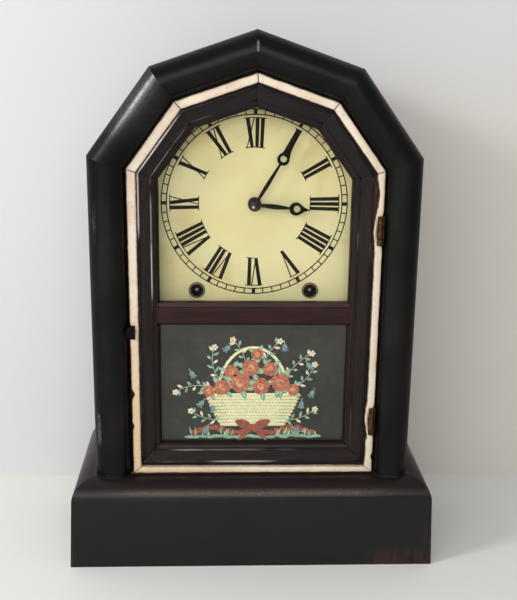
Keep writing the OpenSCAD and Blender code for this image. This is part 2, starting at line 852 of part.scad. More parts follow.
module back_plate() {
    color(brass) {
        difference() {
            slab(rear_y, plate_t) plate_shape();
            pivot_holes(rear_y);
            for (side = [-1, 1], z = block_z)
                along_y(side * (block_x[0] + block_x[1]) / 2, (z[0] + z[1]) / 2,
                        rear_y - more, plate_t + 2 * more, 1.6);
        }
        for (p = pillars) {
            along_y(p[0], p[1], inside_y, plate_gap, pillar_r);
            along_y(p[0], p[1], plate_y - 2, plate_t + 2 + more, 1.4);
        }
        // Suspension cock that the pendulum's spring hangs in
        translate([-4, rear_y + plate_t, swing_z + 4]) cube([8, pendulum_y + 3 - rear_y - plate_t, 4]);
        translate([-4, pendulum_y - 3, swing_z + clear]) cube([8, 6, 4]);
    }
}

module mainsprings() {
    color(steel) for (side = [-1, 1]) mirror([side < 0 ? 1 : 0, 0, 0])
        at(great_c, spring_s, spring_h) polygon(spiral(2.7, spring_r, spring_turns, spring_t, 24));
}

motion_n = 42;
motion_p = 12;
minute_n = 14;
hour_n = 48;
minute_m = 0.75;
hour_m = 0.7;
motion_c = centre_c + (minute_n + motion_n) * minute_m / 2 * [cos(-60), sin(-60)];
motion_a = 0;
minute_pa = mesh(motion_c, centre_c, motion_a, motion_n, minute_n);
hour_pa = mesh(motion_c, centre_c, motion_a, motion_p, hour_n);
minute_y = dial_y - 9.2;
hour_y = dial_y - 6.6;
pinion_y = plate_y - 3.4;
hour_wheel_y = plate_y - 6;

module motion(c, y, t) {
    translate([c[0], 0, c[1]]) slab(y, t) children();
}

module minute_pipe() {
    color(brass) difference() {
        union() {
            motion(centre_c, pinion_y, 2) polygon(tooth(minute_n, minute_m, minute_pa));
            along_y(0, dial_z, minute_y, pinion_y + 2.6 - minute_y, 2);
        }
        along_y(0, dial_z, minute_y - more, 40, 1.26);
    }
}

module hour_pipe() {
    color(brass) difference() {
        union() {
            motion(centre_c, hour_wheel_y, 1.2) crossed(hour_n, hour_m, hour_pa, 4);
            along_y(0, dial_z, hour_y, hour_wheel_y + 1.2 - hour_y, 3);
        }
        along_y(0, dial_z, hour_y - more, 40, 2.06);
    }
}

module motion_wheel() {
    color(brass) {
        motion(motion_c, pinion_y + 0.4, 1.2) crossed(motion_n, minute_m, motion_a, 3);
        motion(motion_c, hour_wheel_y - 0.3, pinion_y - hour_wheel_y + 0.8)
            polygon(tooth(motion_p, hour_m, motion_a));
        along_y(motion_c[0], motion_c[1], hour_wheel_y - 0.6, plate_y + plate_t - hour_wheel_y + 0.6, 0.7);
    }
}

// ---- Hands, drawn pointing up and then turned clockwise ----

ring_minute = 39.8;
ring_hour = 31;

// A flat piece of a hand at depth y, turned a degrees clockwise
module hand_piece(y, a) {
    translate([0, 0, dial_z]) slab(y, hand_t) rotate(-a) children();
}

module minute_hand() {
    y = minute_y + 0.8;
    color(blued) difference() {
        union() {
            hand_piece(y, minute_a) circle(4.2);
            hand_piece(y, minute_a)
                polygon([[-0.9, 2], [-1.2, ring_minute * 0.22], [-1.5, ring_minute * 0.42],
                         [-1.3, ring_minute * 0.6], [-0.8, ring_minute - 4],
                         [0.8, ring_minute - 4], [1.3, ring_minute * 0.6],
                         [1.5, ring_minute * 0.42], [1.2, ring_minute * 0.22], [0.9, 2]]);
            hand_piece(y, minute_a) translate([0, ring_minute]) circle(4.6);
            hand_piece(y, minute_a)
                polygon([[-4.3, ring_minute + 1.4], [-3, ring_minute + 4.6],
                         [-1.9, ring_minute + 8], [-1.2, ring_minute + 14], [-0.6, minute_l - 1],
                         [0, minute_l], [0.6, minute_l - 1], [1.2, ring_minute + 14],
                         [1.9, ring_minute + 8], [3, ring_minute + 4.6], [4.3, ring_minute + 1.4]]);
        }
        hand_piece(y - more, minute_a) translate([0, ring_minute + 0.4]) circle(2.4);
        hand_piece(y, minute_a) translate([0, ring_minute + 0.4]) circle(2.4);
        along_y(0, dial_z, minute_y - more, 20, 2);
    }
}

module hour_hand() {
    y = hour_y + 0.4;
    color(blued) difference() {
        union() {
            hand_piece(y, hour_a) circle(5);
            hand_piece(y, hour_a)
                polygon([[-0.9, 2], [-1.6, ring_hour * 0.3], [-1.9, ring_hour * 0.46],
                         [-1.6, ring_hour * 0.62], [-0.8, ring_hour - 4.4],
                         [0.8, ring_hour - 4.4], [1.6, ring_hour * 0.62],
                         [1.9, ring_hour * 0.46], [1.6, ring_hour * 0.3], [0.9, 2]]);
            hand_piece(y, hour_a) translate([0, ring_hour]) circle(5);
            hand_piece(y, hour_a)
                polygon([[-4.7, ring_hour + 1.6], [-3, ring_hour + 4.4], [-1.5, ring_hour + 6.6],
                         [-0.7, hour_l - 1], [0, hour_l], [0.7, hour_l - 1],
                         [1.5, ring_hour + 6.6], [3, ring_hour + 4.4], [4.7, ring_hour + 1.6]]);
        }
        hand_piece(y - more, hour_a) translate([0, ring_hour + 0.8]) circle(2.5);
        hand_piece(y, hour_a) translate([0, ring_hour + 0.8]) circle(2.5);
        along_y(0, dial_z, hour_y - more, 20, 3);
    }
}

// Domed nut that holds the minute hand
module hand_boss() {
    color(blued) difference() {
        translate([0, minute_y + 0.7, dial_z]) rotate([90, 0, 0]) rotate_extrude() intersection() {
            translate([0, -2.2]) circle(5.2, $fn = 64);
            square([6, 6]);
        }
        along_y(0, dial_z, minute_y - 1.4, 8, 2);
    }
}

// ---- Verge, pendulum and hammer ----

verge_r = 0.9;
verge_l = rear_y + plate_t + 5 - inside_y;
fork_z = swing_z - 37;

module verge() {
    color(steel) {
        at([0, swing_z], escape_s - 0.6, 2) polygon([[0, 3], [-8.6, -1.6], [-10.8, -6.4], [-9.2, -6.6],
            [-6.6, -2.6], [0, -1.6], [6.6, -2.6], [9.2, -6.6], [10.8, -6.4], [8.6, -1.6]]);
        along_y(0, swing_z, plate_y, verge_l + plate_t, verge_r);
        y = rear_y + plate_t + 4;
        rod([0, y, swing_z], [0, y, fork_z], 0.7);
        for (side = [-1, 1])
            translate([side * 1.9 - 0.5, y - 0.7, fork_z - 1]) cube([1, pendulum_y + 2 - y, 2]);
        translate([-2.4, y - 0.7, fork_z - 1]) cube([4.8, 1.4, 2]);
    }
}

bob_z = swing_z - pendulum_l;
nut_z = bob_z - bob_r - 3.6;

module pendulum_rod() {
    color(brass) {
        translate([-0.2, pendulum_y - 1.5, swing_z - 10]) cube([0.4, 3, 10]);
        translate([0, pendulum_y, nut_z - 2]) cylinder(h = swing_z - 9 - nut_z + 2, r = 0.8);
        translate([0, pendulum_y, nut_z]) cylinder(h = 3, r = 3);
    }
}

module pendulum_bob() {
    e = bob_t / 2;
    r = (bob_r * bob_r + e * e) / (2 * e);
    color(brass) difference() {
        translate([0, pendulum_y, bob_z]) rotate([90, 0, 0]) rotate_extrude($fn = 72) intersection() {
            translate([0, e - r]) circle(r, $fn = 180);
            translate([0, r - e]) circle(r, $fn = 180);
            translate([0, -e]) square([bob_r - 0.4, bob_t]);
        }
        translate([0, pendulum_y, bob_z - 2 * bob_r]) cylinder(h = 4 * bob_r, r = 0.86);
    }
}

hammer_c = [-8, plate_low + 5];
hammer_y = rear_y + plate_t + 3;
head_c = [-gong_r - 6, gong_z + 3];

module hammer() {
    y = gong_y + gong_h / 2;
    p = [hammer_c[0], hammer_y, hammer_c[1]];
    q = [head_c[0] - 6, hammer_y, 150];
    k = [head_c[0] - 3, y, head_c[1] + 16];
    e = [head_c[0], y, head_c[1]];
    color(steel) {
        along_y(hammer_c[0], hammer_c[1], plate_y, hammer_y + 1 - plate_y, verge_r);
        rod(p, q, 0.8);
        rod(q, k, 0.8);
        rod(k, e, 0.8);
        for (c = [q, k]) translate(c) sphere(1.1, $fn = 24);
        translate(e - [4, 0, 0]) rotate([0, 90, 0]) cylinder(h = 8, r = 3.5);
        at(hammer_c, strike_second_s + 1.6, 1) polygon([[0, 1.6], [-10, 12], [-11, 11], [0, -1.6]]);
    }
}

base_front();
base_side(-1);  // base_side_left
base_side(1);  // base_side_right
base_rear_rail();
base_deck();
base_glue_blocks();
case_side_left();
case_side_right();
roof_boards();
back_board();
front_frame();
half_round(6);  // half_round_left
half_round(1);  // half_round_right
half_round(5);  // half_round_arch_1
half_round(4);  // half_round_arch_2
half_round(3);  // half_round_arch_3
half_round(2);  // half_round_arch_4
dial_strips();
dial_plate();
winding_grommets();
screws();
movement_blocks();
front_plate();
back_plate();
mainsprings();
gong_block();
gong_coil();
door_stile_left();
door_stile_right();
door_bottom_rail();
door_mid_rail();
door_arch_rails();
door_bead();
upper_glass();
tablet_glass();
glazing_strips();
hinge_case_leaves();
hinge_door_leaves();
hinge_pins();
door_catch();
minute_hand();
hour_hand();
hand_boss();
minute_pipe();
hour_pipe();
motion_wheel();
time_great_wheel();
time_second_wheel();
centre_wheel();
time_third_wheel();
time_fourth_wheel();
escape_wheel();
strike_great_wheel();
strike_second_wheel();
strike_third_wheel();
fly();
verge();
pendulum_rod();
pendulum_bob();
hammer();
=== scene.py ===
import math
import random

import bmesh
import bpy
from mathutils import Matrix, Vector, geometry, noise


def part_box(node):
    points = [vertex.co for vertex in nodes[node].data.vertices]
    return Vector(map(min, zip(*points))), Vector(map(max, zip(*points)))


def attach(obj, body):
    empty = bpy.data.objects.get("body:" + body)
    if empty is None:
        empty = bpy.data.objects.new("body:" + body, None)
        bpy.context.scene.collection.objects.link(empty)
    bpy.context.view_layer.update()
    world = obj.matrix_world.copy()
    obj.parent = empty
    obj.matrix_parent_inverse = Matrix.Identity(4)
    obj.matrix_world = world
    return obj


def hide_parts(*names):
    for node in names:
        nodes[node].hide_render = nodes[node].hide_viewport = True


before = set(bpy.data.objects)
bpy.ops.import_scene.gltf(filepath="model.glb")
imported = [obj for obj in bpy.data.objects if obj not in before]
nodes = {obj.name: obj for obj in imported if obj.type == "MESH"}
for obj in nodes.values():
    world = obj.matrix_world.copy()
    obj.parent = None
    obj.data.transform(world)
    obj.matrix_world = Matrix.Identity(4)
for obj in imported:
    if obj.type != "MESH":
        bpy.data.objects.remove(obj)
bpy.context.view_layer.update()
mm = 0.001
print("frame loaded:", len(nodes), "nodes")


# Shader maths: arithmetic on sockets adds the nodes

def mathNode(operation, swapped=False):
    def apply(self, other=None):
        pair = (other, self) if swapped else (self, other)
        return self.shader.add("ShaderNodeMath", {"operation": operation}, pair)
    return apply


class Value:
    def __init__(self, shader, socket):
        self.shader = shader
        self.socket = socket

    __add__ = __radd__ = mathNode("ADD")
    __sub__ = mathNode("SUBTRACT")
    __rsub__ = mathNode("SUBTRACT", True)
    __mul__ = __rmul__ = mathNode("MULTIPLY")
    __pow__ = mathNode("POWER")
    __lt__ = mathNode("LESS_THAN")
    least = mathNode("MINIMUM")
    most = mathNode("MAXIMUM")
    size = mathNode("ABSOLUTE")

    def ease(self, low, high, start=0.0, end=1.0):
        settings = {"interpolation_type": "SMOOTHSTEP"}
        return self.shader.add("ShaderNodeMapRange", settings,
                               {0: self, 1: low, 2: high, 3: start, 4: end})

    def fade(self, low, high):
        return self.ease(low, high, 1.0, 0.0)

    def band(self, low, high, soft):
        return self.ease(low - soft, low + soft) * self.fade(high - soft, high + soft)


def socketName(key):
    # coatWeight stands for the socket Coat Weight
    name = "".join(" " + c if c.isupper() else c for c in key).title()
    return {"Specular": "Specular IOR Level", "Coat Ior": "Coat IOR"}.get(name, name)


class Shader:
    def __init__(self, name, **constants):
        self.material = bpy.data.materials.new(name)
        self.material.use_nodes = True
        self.nodes = self.material.node_tree.nodes
        self.links = self.material.node_tree.links
        self.surface = self.nodes["Principled BSDF"]
        for key, value in constants.items():
            self.surface.inputs[socketName(key)].default_value = value
        place = self.add("ShaderNodeTexCoord", out="Object")
        self.place = self.add("ShaderNodeMapping", {}, {0: place, 3: (1 / mm,) * 3})
        self.x, self.y, self.z = (self.add("ShaderNodeSeparateXYZ", {}, [self.place], out=i)
                                  for i in range(3))

    def add(self, kind, settings=None, inputs=(), out=0):
        made = self.nodes.new(kind)
        for key, value in (settings or {}).items():
            setattr(made, key, value)
        pairs = inputs.items() if isinstance(inputs, dict) else enumerate(inputs)
        for key, value in pairs:
            if isinstance(value, Value):
                self.links.new(value.socket, made.inputs[key])
            elif value is not None:
                made.inputs[key].default_value = value
        return Value(self, made.outputs[out])

    def turned(self, degrees, stretch, shift=(0, 0, 0)):
        angle = (0, math.radians(degrees), 0)
        turn = self.add("ShaderNodeMapping", {"vector_type": "TEXTURE"}, {0: self.place, 2: angle})
        return self.add("ShaderNodeMapping", {}, {0: turn, 1: shift, 3: stretch})

    def noise(self, scale, detail=2.0, rough=0.5, at=None, distort=0.0):
        return self.add("ShaderNodeTexNoise", {},
                        {"Vector": at or self.place, "Scale": scale, "Detail": detail,
                         "Roughness": rough, "Distortion": distort})

    def reach(self, x, z, bothSides=False):
        # Distance from an axis along Y at x, z, or from a pair of them at x and -x
        aside = self.x.size() if bothSides else self.x
        return ((aside - x) ** 2.0 + (self.z - z) ** 2.0) ** 0.5

    def mix(self, share, first, second):
        pair = [(*c, 1.0) if isinstance(c, tuple) else c for c in (first, second)]
        return self.add("ShaderNodeMix", {"data_type": "RGBA"},
                        {0: share, 6: pair[0], 7: pair[1]}, out=2)

    def bump(self, height, depth):
        return self.add("ShaderNodeBump", {}, {"Distance": depth * mm, "Height": height})

    def finish(self, **outputs):
        for key, value in outputs.items():
            socket = self.surface.inputs[socketName(key)]
            if isinstance(value, Value):
                self.links.new(value.socket, socket)
            else:
                socket.default_value = value
        return self.material


def rgb(red, green, blue):
    # Levels as a picture shows them, turned into linear light
    return tuple((c / 255 / 12.92) if c < 11 else ((c / 255 + 0.055) / 1.055) ** 2.4
                 for c in (red, green, blue))


# Finishes

# The pale colour for the base's rounded edge is a painted highlight as well as rubbed wear
lacquer = {"black": rgb(7, 7, 7), "brown": rgb(19, 14, 13), "rubbedAndHighlit": rgb(100, 82, 74),
           "dust": rgb(78, 72, 68), "red": rgb(60, 38, 36), "base": rgb(29, 29, 29)}


def caseLacquer(name, angle, seed, wear=None, shine=0.85, black=lacquer["black"], soft=0.2,
                brown=1.0, coatIor=1.34, polished=None):
    s = Shader(name, specular=0.05, coatRoughness=soft, coatIor=coatIor)
    grainAt = s.turned(angle, (0.02, 0.9, 0.9), (seed * 7.3, seed, seed * 3.1))
    grain = s.noise(1.0, 4.0, 0.6, grainAt)
    pores = s.noise(1.0, 2.0, 0.5, s.turned(angle, (0.09, 2.4, 2.4), (seed, seed, seed)))
    cloud = s.noise(0.022, 3.0, 0.6)
    fine = s.noise(1.6, 3.0, 0.7)
    colour = s.mix(cloud.ease(0.45, 0.7) * grain.ease(0.35, 0.7) * brown, black, lacquer["brown"])
    speck = fine.ease(0.62, 0.72) * cloud.ease(0.48, 0.62)
    colour = s.mix(speck * 0.3, colour, lacquer["dust"])
    rough = 0.36 + cloud * 0.14 + grain * 0.08 + speck * 0.1
    # The marks lay wear, and on the base also a painted highlight and a painted sheen
    for markShare, shade in (wear(s) if wear else ()):
        colour = s.mix(markShare, colour, shade)
        rough = rough + markShare * 0.12
    height = grain * 0.5 + pores.ease(0.35, 0.5) * 0.5 + fine * 0.2
    coat = (0.4 + cloud.ease(0.3, 0.7) * 0.3) * shine
    if polished:
        coat = coat * polished(s)
    return s.finish(baseColor=colour, roughness=rough, coatWeight=coat,
                    normal=s.bump(height, 0.05))


# Places of wear and of the painted highlight on the base, in the model's mm, each from and to
baseMarks = {"edge": (60.0, 63.5), "soft": 2.2, "middle": (70.0, 128.0), "top": (63.0, 68.0),
             "redX": (76.0, 104.0), "redZ": (8.0, 17.0), "cornerX": (132.0, 139.0),
             "cornerZ": (18.0, 36.0)}


def baseWearAndSheen(s):
    # A pale band along the rounded edge, painted highlight and rubbed wear; brown above it, red
    # where it is thin at the lower right
    along = s.noise(1.0, 3.0, 0.6, s.turned(0, (0.02, 0.2, 0.2)))
    speck = s.noise(0.7, 4.0, 0.75, s.turned(0, (0.5, 1.0, 1.0)))
    middle = s.x.size().ease(*baseMarks["middle"], 1.0, 0.25)
    rubbedAndHighlit = s.z.band(*baseMarks["edge"], baseMarks["soft"]) * middle
    rubbedAndHighlit = rubbedAndHighlit * (0.25 + along * 0.5 + speck.ease(0.5, 0.66) * 0.45)
    thin = s.x.ease(*baseMarks["redX"]) * s.z.fade(*baseMarks["redZ"])
    thin = thin.most(s.x.ease(*baseMarks["cornerX"]) * s.z.fade(*baseMarks["cornerZ"]))
    thin = thin * s.noise(1.0, 3.0, 0.6, s.turned(90, (0.04, 0.3, 0.3))).ease(0.36, 0.56)
    top = s.z.ease(*baseMarks["top"]) * (0.45 + along * 0.5)
    return (rubbedAndHighlit, lacquer["rubbedAndHighlit"]), (thin * 0.6, lacquer["red"]), (top, rgb(34, 24, 22))


def sidePaintedSheen(s):
    # A reddish tint in patches, painted as the sheen the base's sides catch
    tint = s.noise(0.03, 3.0, 0.6).ease(0.3, 0.6)
    return (tint * 0.6, rgb(50, 32, 31)),


# The upper left slope: its lower outer corner, and how far it runs and rises for each mm along it
slope = {"x": -121.9, "z": 317.6, "run": 0.589, "rise": 0.808, "rim": (1.0, 4.5),
         "inner": (8.0, 11.5), "length": (14.0, 56.0)}
uprightRim = (110.0, 119.0)


def cornerPolish(s):
    # The slope shines on its outer half, less towards its lower mitre
    inwards = (s.x - slope["x"]) * slope["rise"] - (s.z - slope["z"]) * slope["run"]
    along = (s.x - slope["x"]) * slope["run"] + (s.z - slope["z"]) * slope["rise"]
    cloudy = s.noise(0.08, 3.0, 0.6, s.turned(-60, (0.5, 1.0, 1.0)))
    across = inwards.ease(*slope["rim"], 0.4, 1.0) * inwards.ease(*slope["inner"], 1.0, 0.25)
    dusty = s.noise(0.7, 3.0, 0.7).ease(0.35, 0.65, 0.65, 1.25)
    return across * along.ease(*slope["length"], 0.13, 1.0) * (0.4 + cloudy) * dusty


def sidePolish(s):
    # The uprights are duller towards their outer edges
    return s.x.size().ease(*uprightRim, 1.0, 0.3)


# Two scratches on the left upright: across, along, softness of their ends, the noise that
# shows; then the foot of the uprights, and the mitre at the top
mouldMarks = {"low": ((-118.8, -116.2), (99.0, 122.0), 3.0, (0.52, 0.56)),
              "high": ((-117.6, -115.4), (258.0, 282.0), 4.0, (0.54, 0.58)),
              "foot": (70.0, 71.2), "mitreHalf": (0.5, 1.1), "mitre": (391.5, 398.5)}


def mouldWear(s):
    nick = s.noise(1.5, 3.0, 0.8, s.turned(90, (0.25, 1.0, 1.0)))
    low, high = (s.x.band(*across, 0.5) * s.z.band(*along, ends) * nick.ease(*ragged)
                 for across, along, ends, ragged in (mouldMarks["low"], mouldMarks["high"]))
    foot = s.z.band(*mouldMarks["foot"], 0.4) * nick.ease(0.35, 0.55)
    mitre = s.x.size().fade(*mouldMarks["mitreHalf"]) * s.z.band(*mouldMarks["mitre"], 1.0)
    return ((low.most(high * 0.6) * 0.5, rgb(150, 146, 140)), (foot * 0.12, rgb(104, 96, 90)),
            (mitre * nick.ease(0.3, 0.45) * 0.6, rgb(124, 120, 118)))


stilePatch = {"x": (84.8, 90.0), "z": (240.0, 304.0)}


def stileWear(s):
    # Rubbed to the red wood beside the upper hinge, and in long thin streaks
    ragged = s.noise(1.0, 4.0, 0.75, s.turned(90, (0.12, 0.9, 0.9)))
    patch = s.x.band(*stilePatch["x"], 0.8) * s.z.band(*stilePatch["z"], 5.0)
    patch = patch * ragged.ease(0.36, 0.54)
    streak = s.noise(1.0, 3.0, 0.6, s.turned(90, (0.012, 0.5, 0.5), (31, 5, 9)))
    return (streak.ease(0.56, 0.7) * 0.3, rgb(62, 34, 29)), (patch * 0.8, rgb(84, 44, 36))


def doorWood(name, angle, seed, base=rgb(20, 14, 13), light=rgb(46, 28, 24), strength=0.5,
             wear=None):
    s = Shader(name, specular=0.1, coatRoughness=0.14, coatIor=1.36)
    grainAt = s.turned(angle, (0.03, 1.3, 1.3), (seed * 5.1, seed, seed * 2.7))
    grain = s.noise(1.0, 5.0, 0.65, grainAt, 0.4)
    cloud = s.noise(0.04, 3.0, 0.6)
    fine = s.noise(2.0, 3.0, 0.7)
    colour = s.mix(grain.ease(0.42, 0.68) * (0.3 + cloud) * strength * 2, base, light)
    speck = fine.ease(0.64, 0.72) * cloud.ease(0.5, 0.64)
    colour = s.mix(speck * 0.4, colour, lacquer["dust"])
    rough = 0.3 + grain * 0.15 + cloud * 0.1
    for markShare, shade in (wear(s) if wear else ()):
        colour = s.mix(markShare, colour, shade)
        rough = rough + markShare * 0.15
    return s.finish(baseColor=colour, roughness=rough, coatWeight=0.16 + cloud * 0.2,
                    normal=s.bump(grain * 0.7 + fine * 0.2, 0.05))


# How softly the bright lengths of a thin edge end, across and along the door
edgeEnds = {"x": 9.0, "z": 7.0}


def edgeWood(name, seed, rubbedAndHighlit):
    # A thin edge, polished, painted pale along the given lengths as highlight and rubbed wear, dull
    # elsewhere
    s = Shader(name, specular=0.12, coatRoughness=0.14, coatIor=1.8)
    patch = s.noise(0.03, 3.0, 0.6, s.turned(0, (1, 1, 1), (seed * 40.0, 0, 7.0)))
    fine = s.noise(0.9, 3.0, 0.7)
    bright = patch.ease(0.5, 0.8) * 0.15
    for left, right, low, high, share in rubbedAndHighlit:
        length = s.x.band(left, right, edgeEnds["x"]) * s.z.band(low, high, edgeEnds["z"])
        bright = bright.most(length * share)
    colour = s.mix(bright * (0.45 + fine * 0.5), rgb(22, 16, 16), rgb(206, 192, 188))
    return s.finish(baseColor=colour, roughness=0.25 + fine * 0.1,
                    coatWeight=0.05 + bright * 0.9, normal=s.bump(fine, 0.02))


# Where the bead's paint is browner, yellower or greyer, and where its sides are darker with dirt
# and painted shade; beside and hinge are measured from the edge and the middle of a hinge's leaf
beadTints = {"lowX": (-70.0, 0.0), "lowZ": (100.0, 190.0), "yellowX": (-84.0, -78.0),
             "yellowZ": (180.0, 215.0), "greyX": (76.0, 82.0), "dirtAndShadeY": (-43.25, -42.8),
             "litSideZ": (79.0, 84.0), "beside": (-2.2, -0.4), "hinge": (-8.0, 9.0)}


def beadPaint():
    s = Shader("beadPaint", specular=0.3)
    broad = s.noise(0.05, 3.0, 0.6)
    fine = s.noise(0.9, 4.0, 0.7)
    colour = s.mix(broad.ease(0.35, 0.7), rgb(221, 205, 185), rgb(208, 186, 160))
    tints = beadTints
    lower = s.x.ease(*tints["lowX"], 0.75, 0.15) * s.z.fade(*tints["lowZ"])
    colour = s.mix(lower, colour, rgb(200, 174, 140))
    yellowed = s.x.fade(*tints["yellowX"]) * s.z.fade(*tints["yellowZ"])
    colour = s.mix(yellowed * (0.2 + broad * 0.8), colour, rgb(210, 182, 140))
    colour = s.mix(s.x.ease(*tints["greyX"]) * 0.5, colour, rgb(198, 186, 166))
    grime = s.noise(0.35, 5.0, 0.75).ease(0.54, 0.72)
    colour = s.mix(grime * 0.5, colour, rgb(140, 104, 78))
    mottled = s.noise(0.3, 4.0, 0.7).ease(0.3, 0.55)
    # The bead's sides are darker, dirt and painted shade, less so on the bottom strip whose upper
    # side takes the light
    dirtAndShade = s.y.ease(*tints["dirtAndShadeY"]) * mottled * s.z.ease(*tints["litSideZ"], 0.15, 1.0) * 0.75
    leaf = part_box("hinge_door_leaves")[0][0] / mm
    # Beside each hinge leaf the bead darkens too, dirt and a painted shadow in the gap
    for height in bead["hinges"]:
        beside = s.x.ease(*(leaf + x for x in tints["beside"]))
        beside = beside * s.z.band(*(height + z for z in tints["hinge"]), 3.0)
        dirtAndShade = dirtAndShade.most(beside * (0.5 + mottled * 0.5) * 0.7)
    colour = s.mix(dirtAndShade, colour, rgb(84, 60, 46))
    chip = s.noise(0.55, 3.0, 0.6).ease(0.73, 0.745)
    colour = s.mix(chip, colour, rgb(52, 34, 27))
    relief = s.bump(fine * 0.4 + broad - chip * 1.2, 0.25)
    return s.finish(baseColor=colour, roughness=0.5 + fine * 0.15, normal=relief)


dialHeight = 280.2
dialStain = (34.0, 58.0)


def dialPaint():
    s = Shader("dialPaint", specular=0.35)
    broad = s.noise(0.018, 3.0, 0.6)
    fine = s.noise(0.7, 4.0, 0.7)
    colour = s.mix(broad.ease(0.3, 0.7), rgb(224, 210, 166), rgb(218, 203, 150))
    tan = s.noise(0.035, 3.0, 0.6).ease(0.44, 0.66) * s.reach(0.0, dialHeight).ease(*dialStain)
    colour = s.mix(tan * 0.6, colour, rgb(202, 176, 126))
    foxing = s.noise(0.5, 2.0, 0.6).ease(0.72, 0.8)
    colour = s.mix(foxing * 0.4, colour, rgb(178, 146, 92))
    relief = s.bump(fine, 0.02)
    return s.finish(baseColor=colour, roughness=0.45 + fine * 0.1, normal=relief)


def printInk():
    s = Shader("printInk", specular=0.12)
    thin = s.noise(1.4, 3.0, 0.8)
    colour = s.mix(thin.ease(0.55, 0.75) * 0.3, rgb(20, 15, 9), rgb(74, 62, 42))
    return s.finish(baseColor=colour, roughness=0.5 + thin * 0.1, normal=s.bump(thin, 0.01))


# The winding holes: their axes, and the reach from them of the dark of old oil and painted shade,
# of the painted glint on the arbor's end and of the grommet's bore and lip; the dark fades over its
# depth
winding = {"x": 43.5, "z": 212.8, "oil": (9.0, 12.0), "arbor": (0.7, 1.4), "oilAndShadeDepth": 2.0,
           "bore": (4.4, 5.0), "lip": (5.15, 5.65)}


def agedMetal(name, base, stain, rough, metallic=1.0, stainAmount=0.8, depth=0.06, darkTo=None,
              specular=0.5, patches=0.16):
    s = Shader(name, specular=specular)
    patch = s.noise(patches, 4.0, 0.7)
    fine = s.noise(1.8, 3.0, 0.7)
    dull = patch.ease(0.4, 0.66) * stainAmount
    colour = s.mix(dull, base, stain)
    if darkTo is not None:
        # Painted dark, as old oil and as shade inside the case, as far back as darkTo round the
        # winding holes, with a painted glint on the arbors' ends
        near = s.reach(winding["x"], winding["z"], bothSides=True)
        oil = s.y.fade(darkTo - winding["oilAndShadeDepth"], darkTo) * near.fade(*winding["oil"])
        oil = oil * near.ease(*winding["arbor"])
        colour = s.mix(near.ease(*winding["arbor"], 0.8, 0.0), colour, rgb(172, 168, 164))
        colour = s.mix(oil, colour, rgb(16, 12, 10))
    return s.finish(baseColor=colour, roughness=rough + dull * 0.25 + fine * 0.1,
                    metallic=metallic - dull * 0.4 * metallic, normal=s.bump(fine + patch, depth))


# The hands' boss: the ring of painted glints on rubbed metal, and the place beside the axis and the
# size of the painted glint on a bare spot
boss = {"ring": (1.4, 3.4), "aside": -1.2, "below": -1.1, "spot": (0.4, 1.6)}


def bossSteel():
    # Black, with painted lilac glints on a rubbed ring and a painted glint on a bare spot beside
    # the middle
    s = Shader("bossSteel", specular=0.15)
    fine = s.noise(1.2, 3.0, 0.7)
    rubbedAndHighlit = s.reach(0.0, dialHeight).band(*boss["ring"], 0.8) * fine.ease(0.5, 0.6)
    spot = s.reach(boss["aside"], dialHeight + boss["below"]).fade(*boss["spot"])
    colour = s.mix(rubbedAndHighlit * 0.6, rgb(26, 19, 23), rgb(112, 98, 120))
    colour = s.mix(spot * (0.2 + fine), colour, rgb(222, 206, 226))
    return s.finish(baseColor=colour, roughness=0.3 + fine * 0.2, metallic=rubbedAndHighlit * 0.3,
                    normal=s.bump(fine, 0.1))


def grommetBrass():
    # Dark with age, painted black in the bore as shade, with a pale ring painted round the top of
    # the lip as its highlight
    s = Shader("grommetBrass", specular=0.2)
    patch = s.noise(0.5, 3.0, 0.7)
    reach = s.reach(winding["x"], winding["z"], bothSides=True)
    colour = s.mix(reach.ease(*winding["bore"]), rgb(12, 9, 8), rgb(38, 27, 21))
    colour = s.mix(reach.band(*winding["lip"], 0.15) * (0.6 + patch), colour, rgb(160, 140, 114))
    return s.finish(baseColor=colour, roughness=0.35 + patch * 0.2, metallic=0.5,
                    normal=s.bump(patch, 0.05))


def bareWood(name, angle, seed, dark=rgb(118, 84, 52), light=rgb(172, 132, 88)):
    s = Shader(name, specular=0.3)
    grainAt = s.turned(angle, (0.012, 0.22, 0.22), (seed * 4.0, seed, seed))
    rings = s.noise(1.0, 4.0, 0.6, grainAt, 1.2)
    fibre = s.noise(1.0, 2.0, 0.6, s.turned(angle, (0.05, 2.6, 2.6)))
    stain = s.noise(0.012, 4.0, 0.65)
    colour = s.mix(rings.ease(0.35, 0.65), light, dark)
    colour = s.mix(stain.ease(0.45, 0.7) * 0.55, colour, rgb(84, 60, 40))
    colour = s.mix(fibre.ease(0.6, 0.8) * 0.3, colour, rgb(70, 50, 34))
    return s.finish(baseColor=colour, roughness=0.68 + fibre * 0.15,
                    normal=s.bump(fibre + rings, 0.12))


# The share of a real glass's reflection that shows: the photo has next to none over the dial
glassShown = 0.14


def clearGlass():
    s = Shader("clearGlass")
    ripple = s.noise(0.012, 2.0, 0.5)
    glass = s.add("ShaderNodeBsdfGlossy", {}, {"Roughness": 0.03, "Color": (1, 1, 1, 1)})
    clear = s.add("ShaderNodeBsdfTransparent", {}, {"Color": (0.97, 0.98, 0.96, 1)})
    facing = s.add("ShaderNodeFresnel", {}, {"IOR": 1.45, "Normal": s.bump(ripple, 0.3)})
    shown = s.add("ShaderNodeMixShader", {}, {0: facing * glassShown, 1: clear, 2: glass})
    s.links.new(shown.socket, s.nodes["Material Output"].inputs["Surface"])
    s.nodes.remove(s.surface)
    return s.material


tabletRim = {"x": (66.0, 74.0), "z": (96.0, 104.0)}


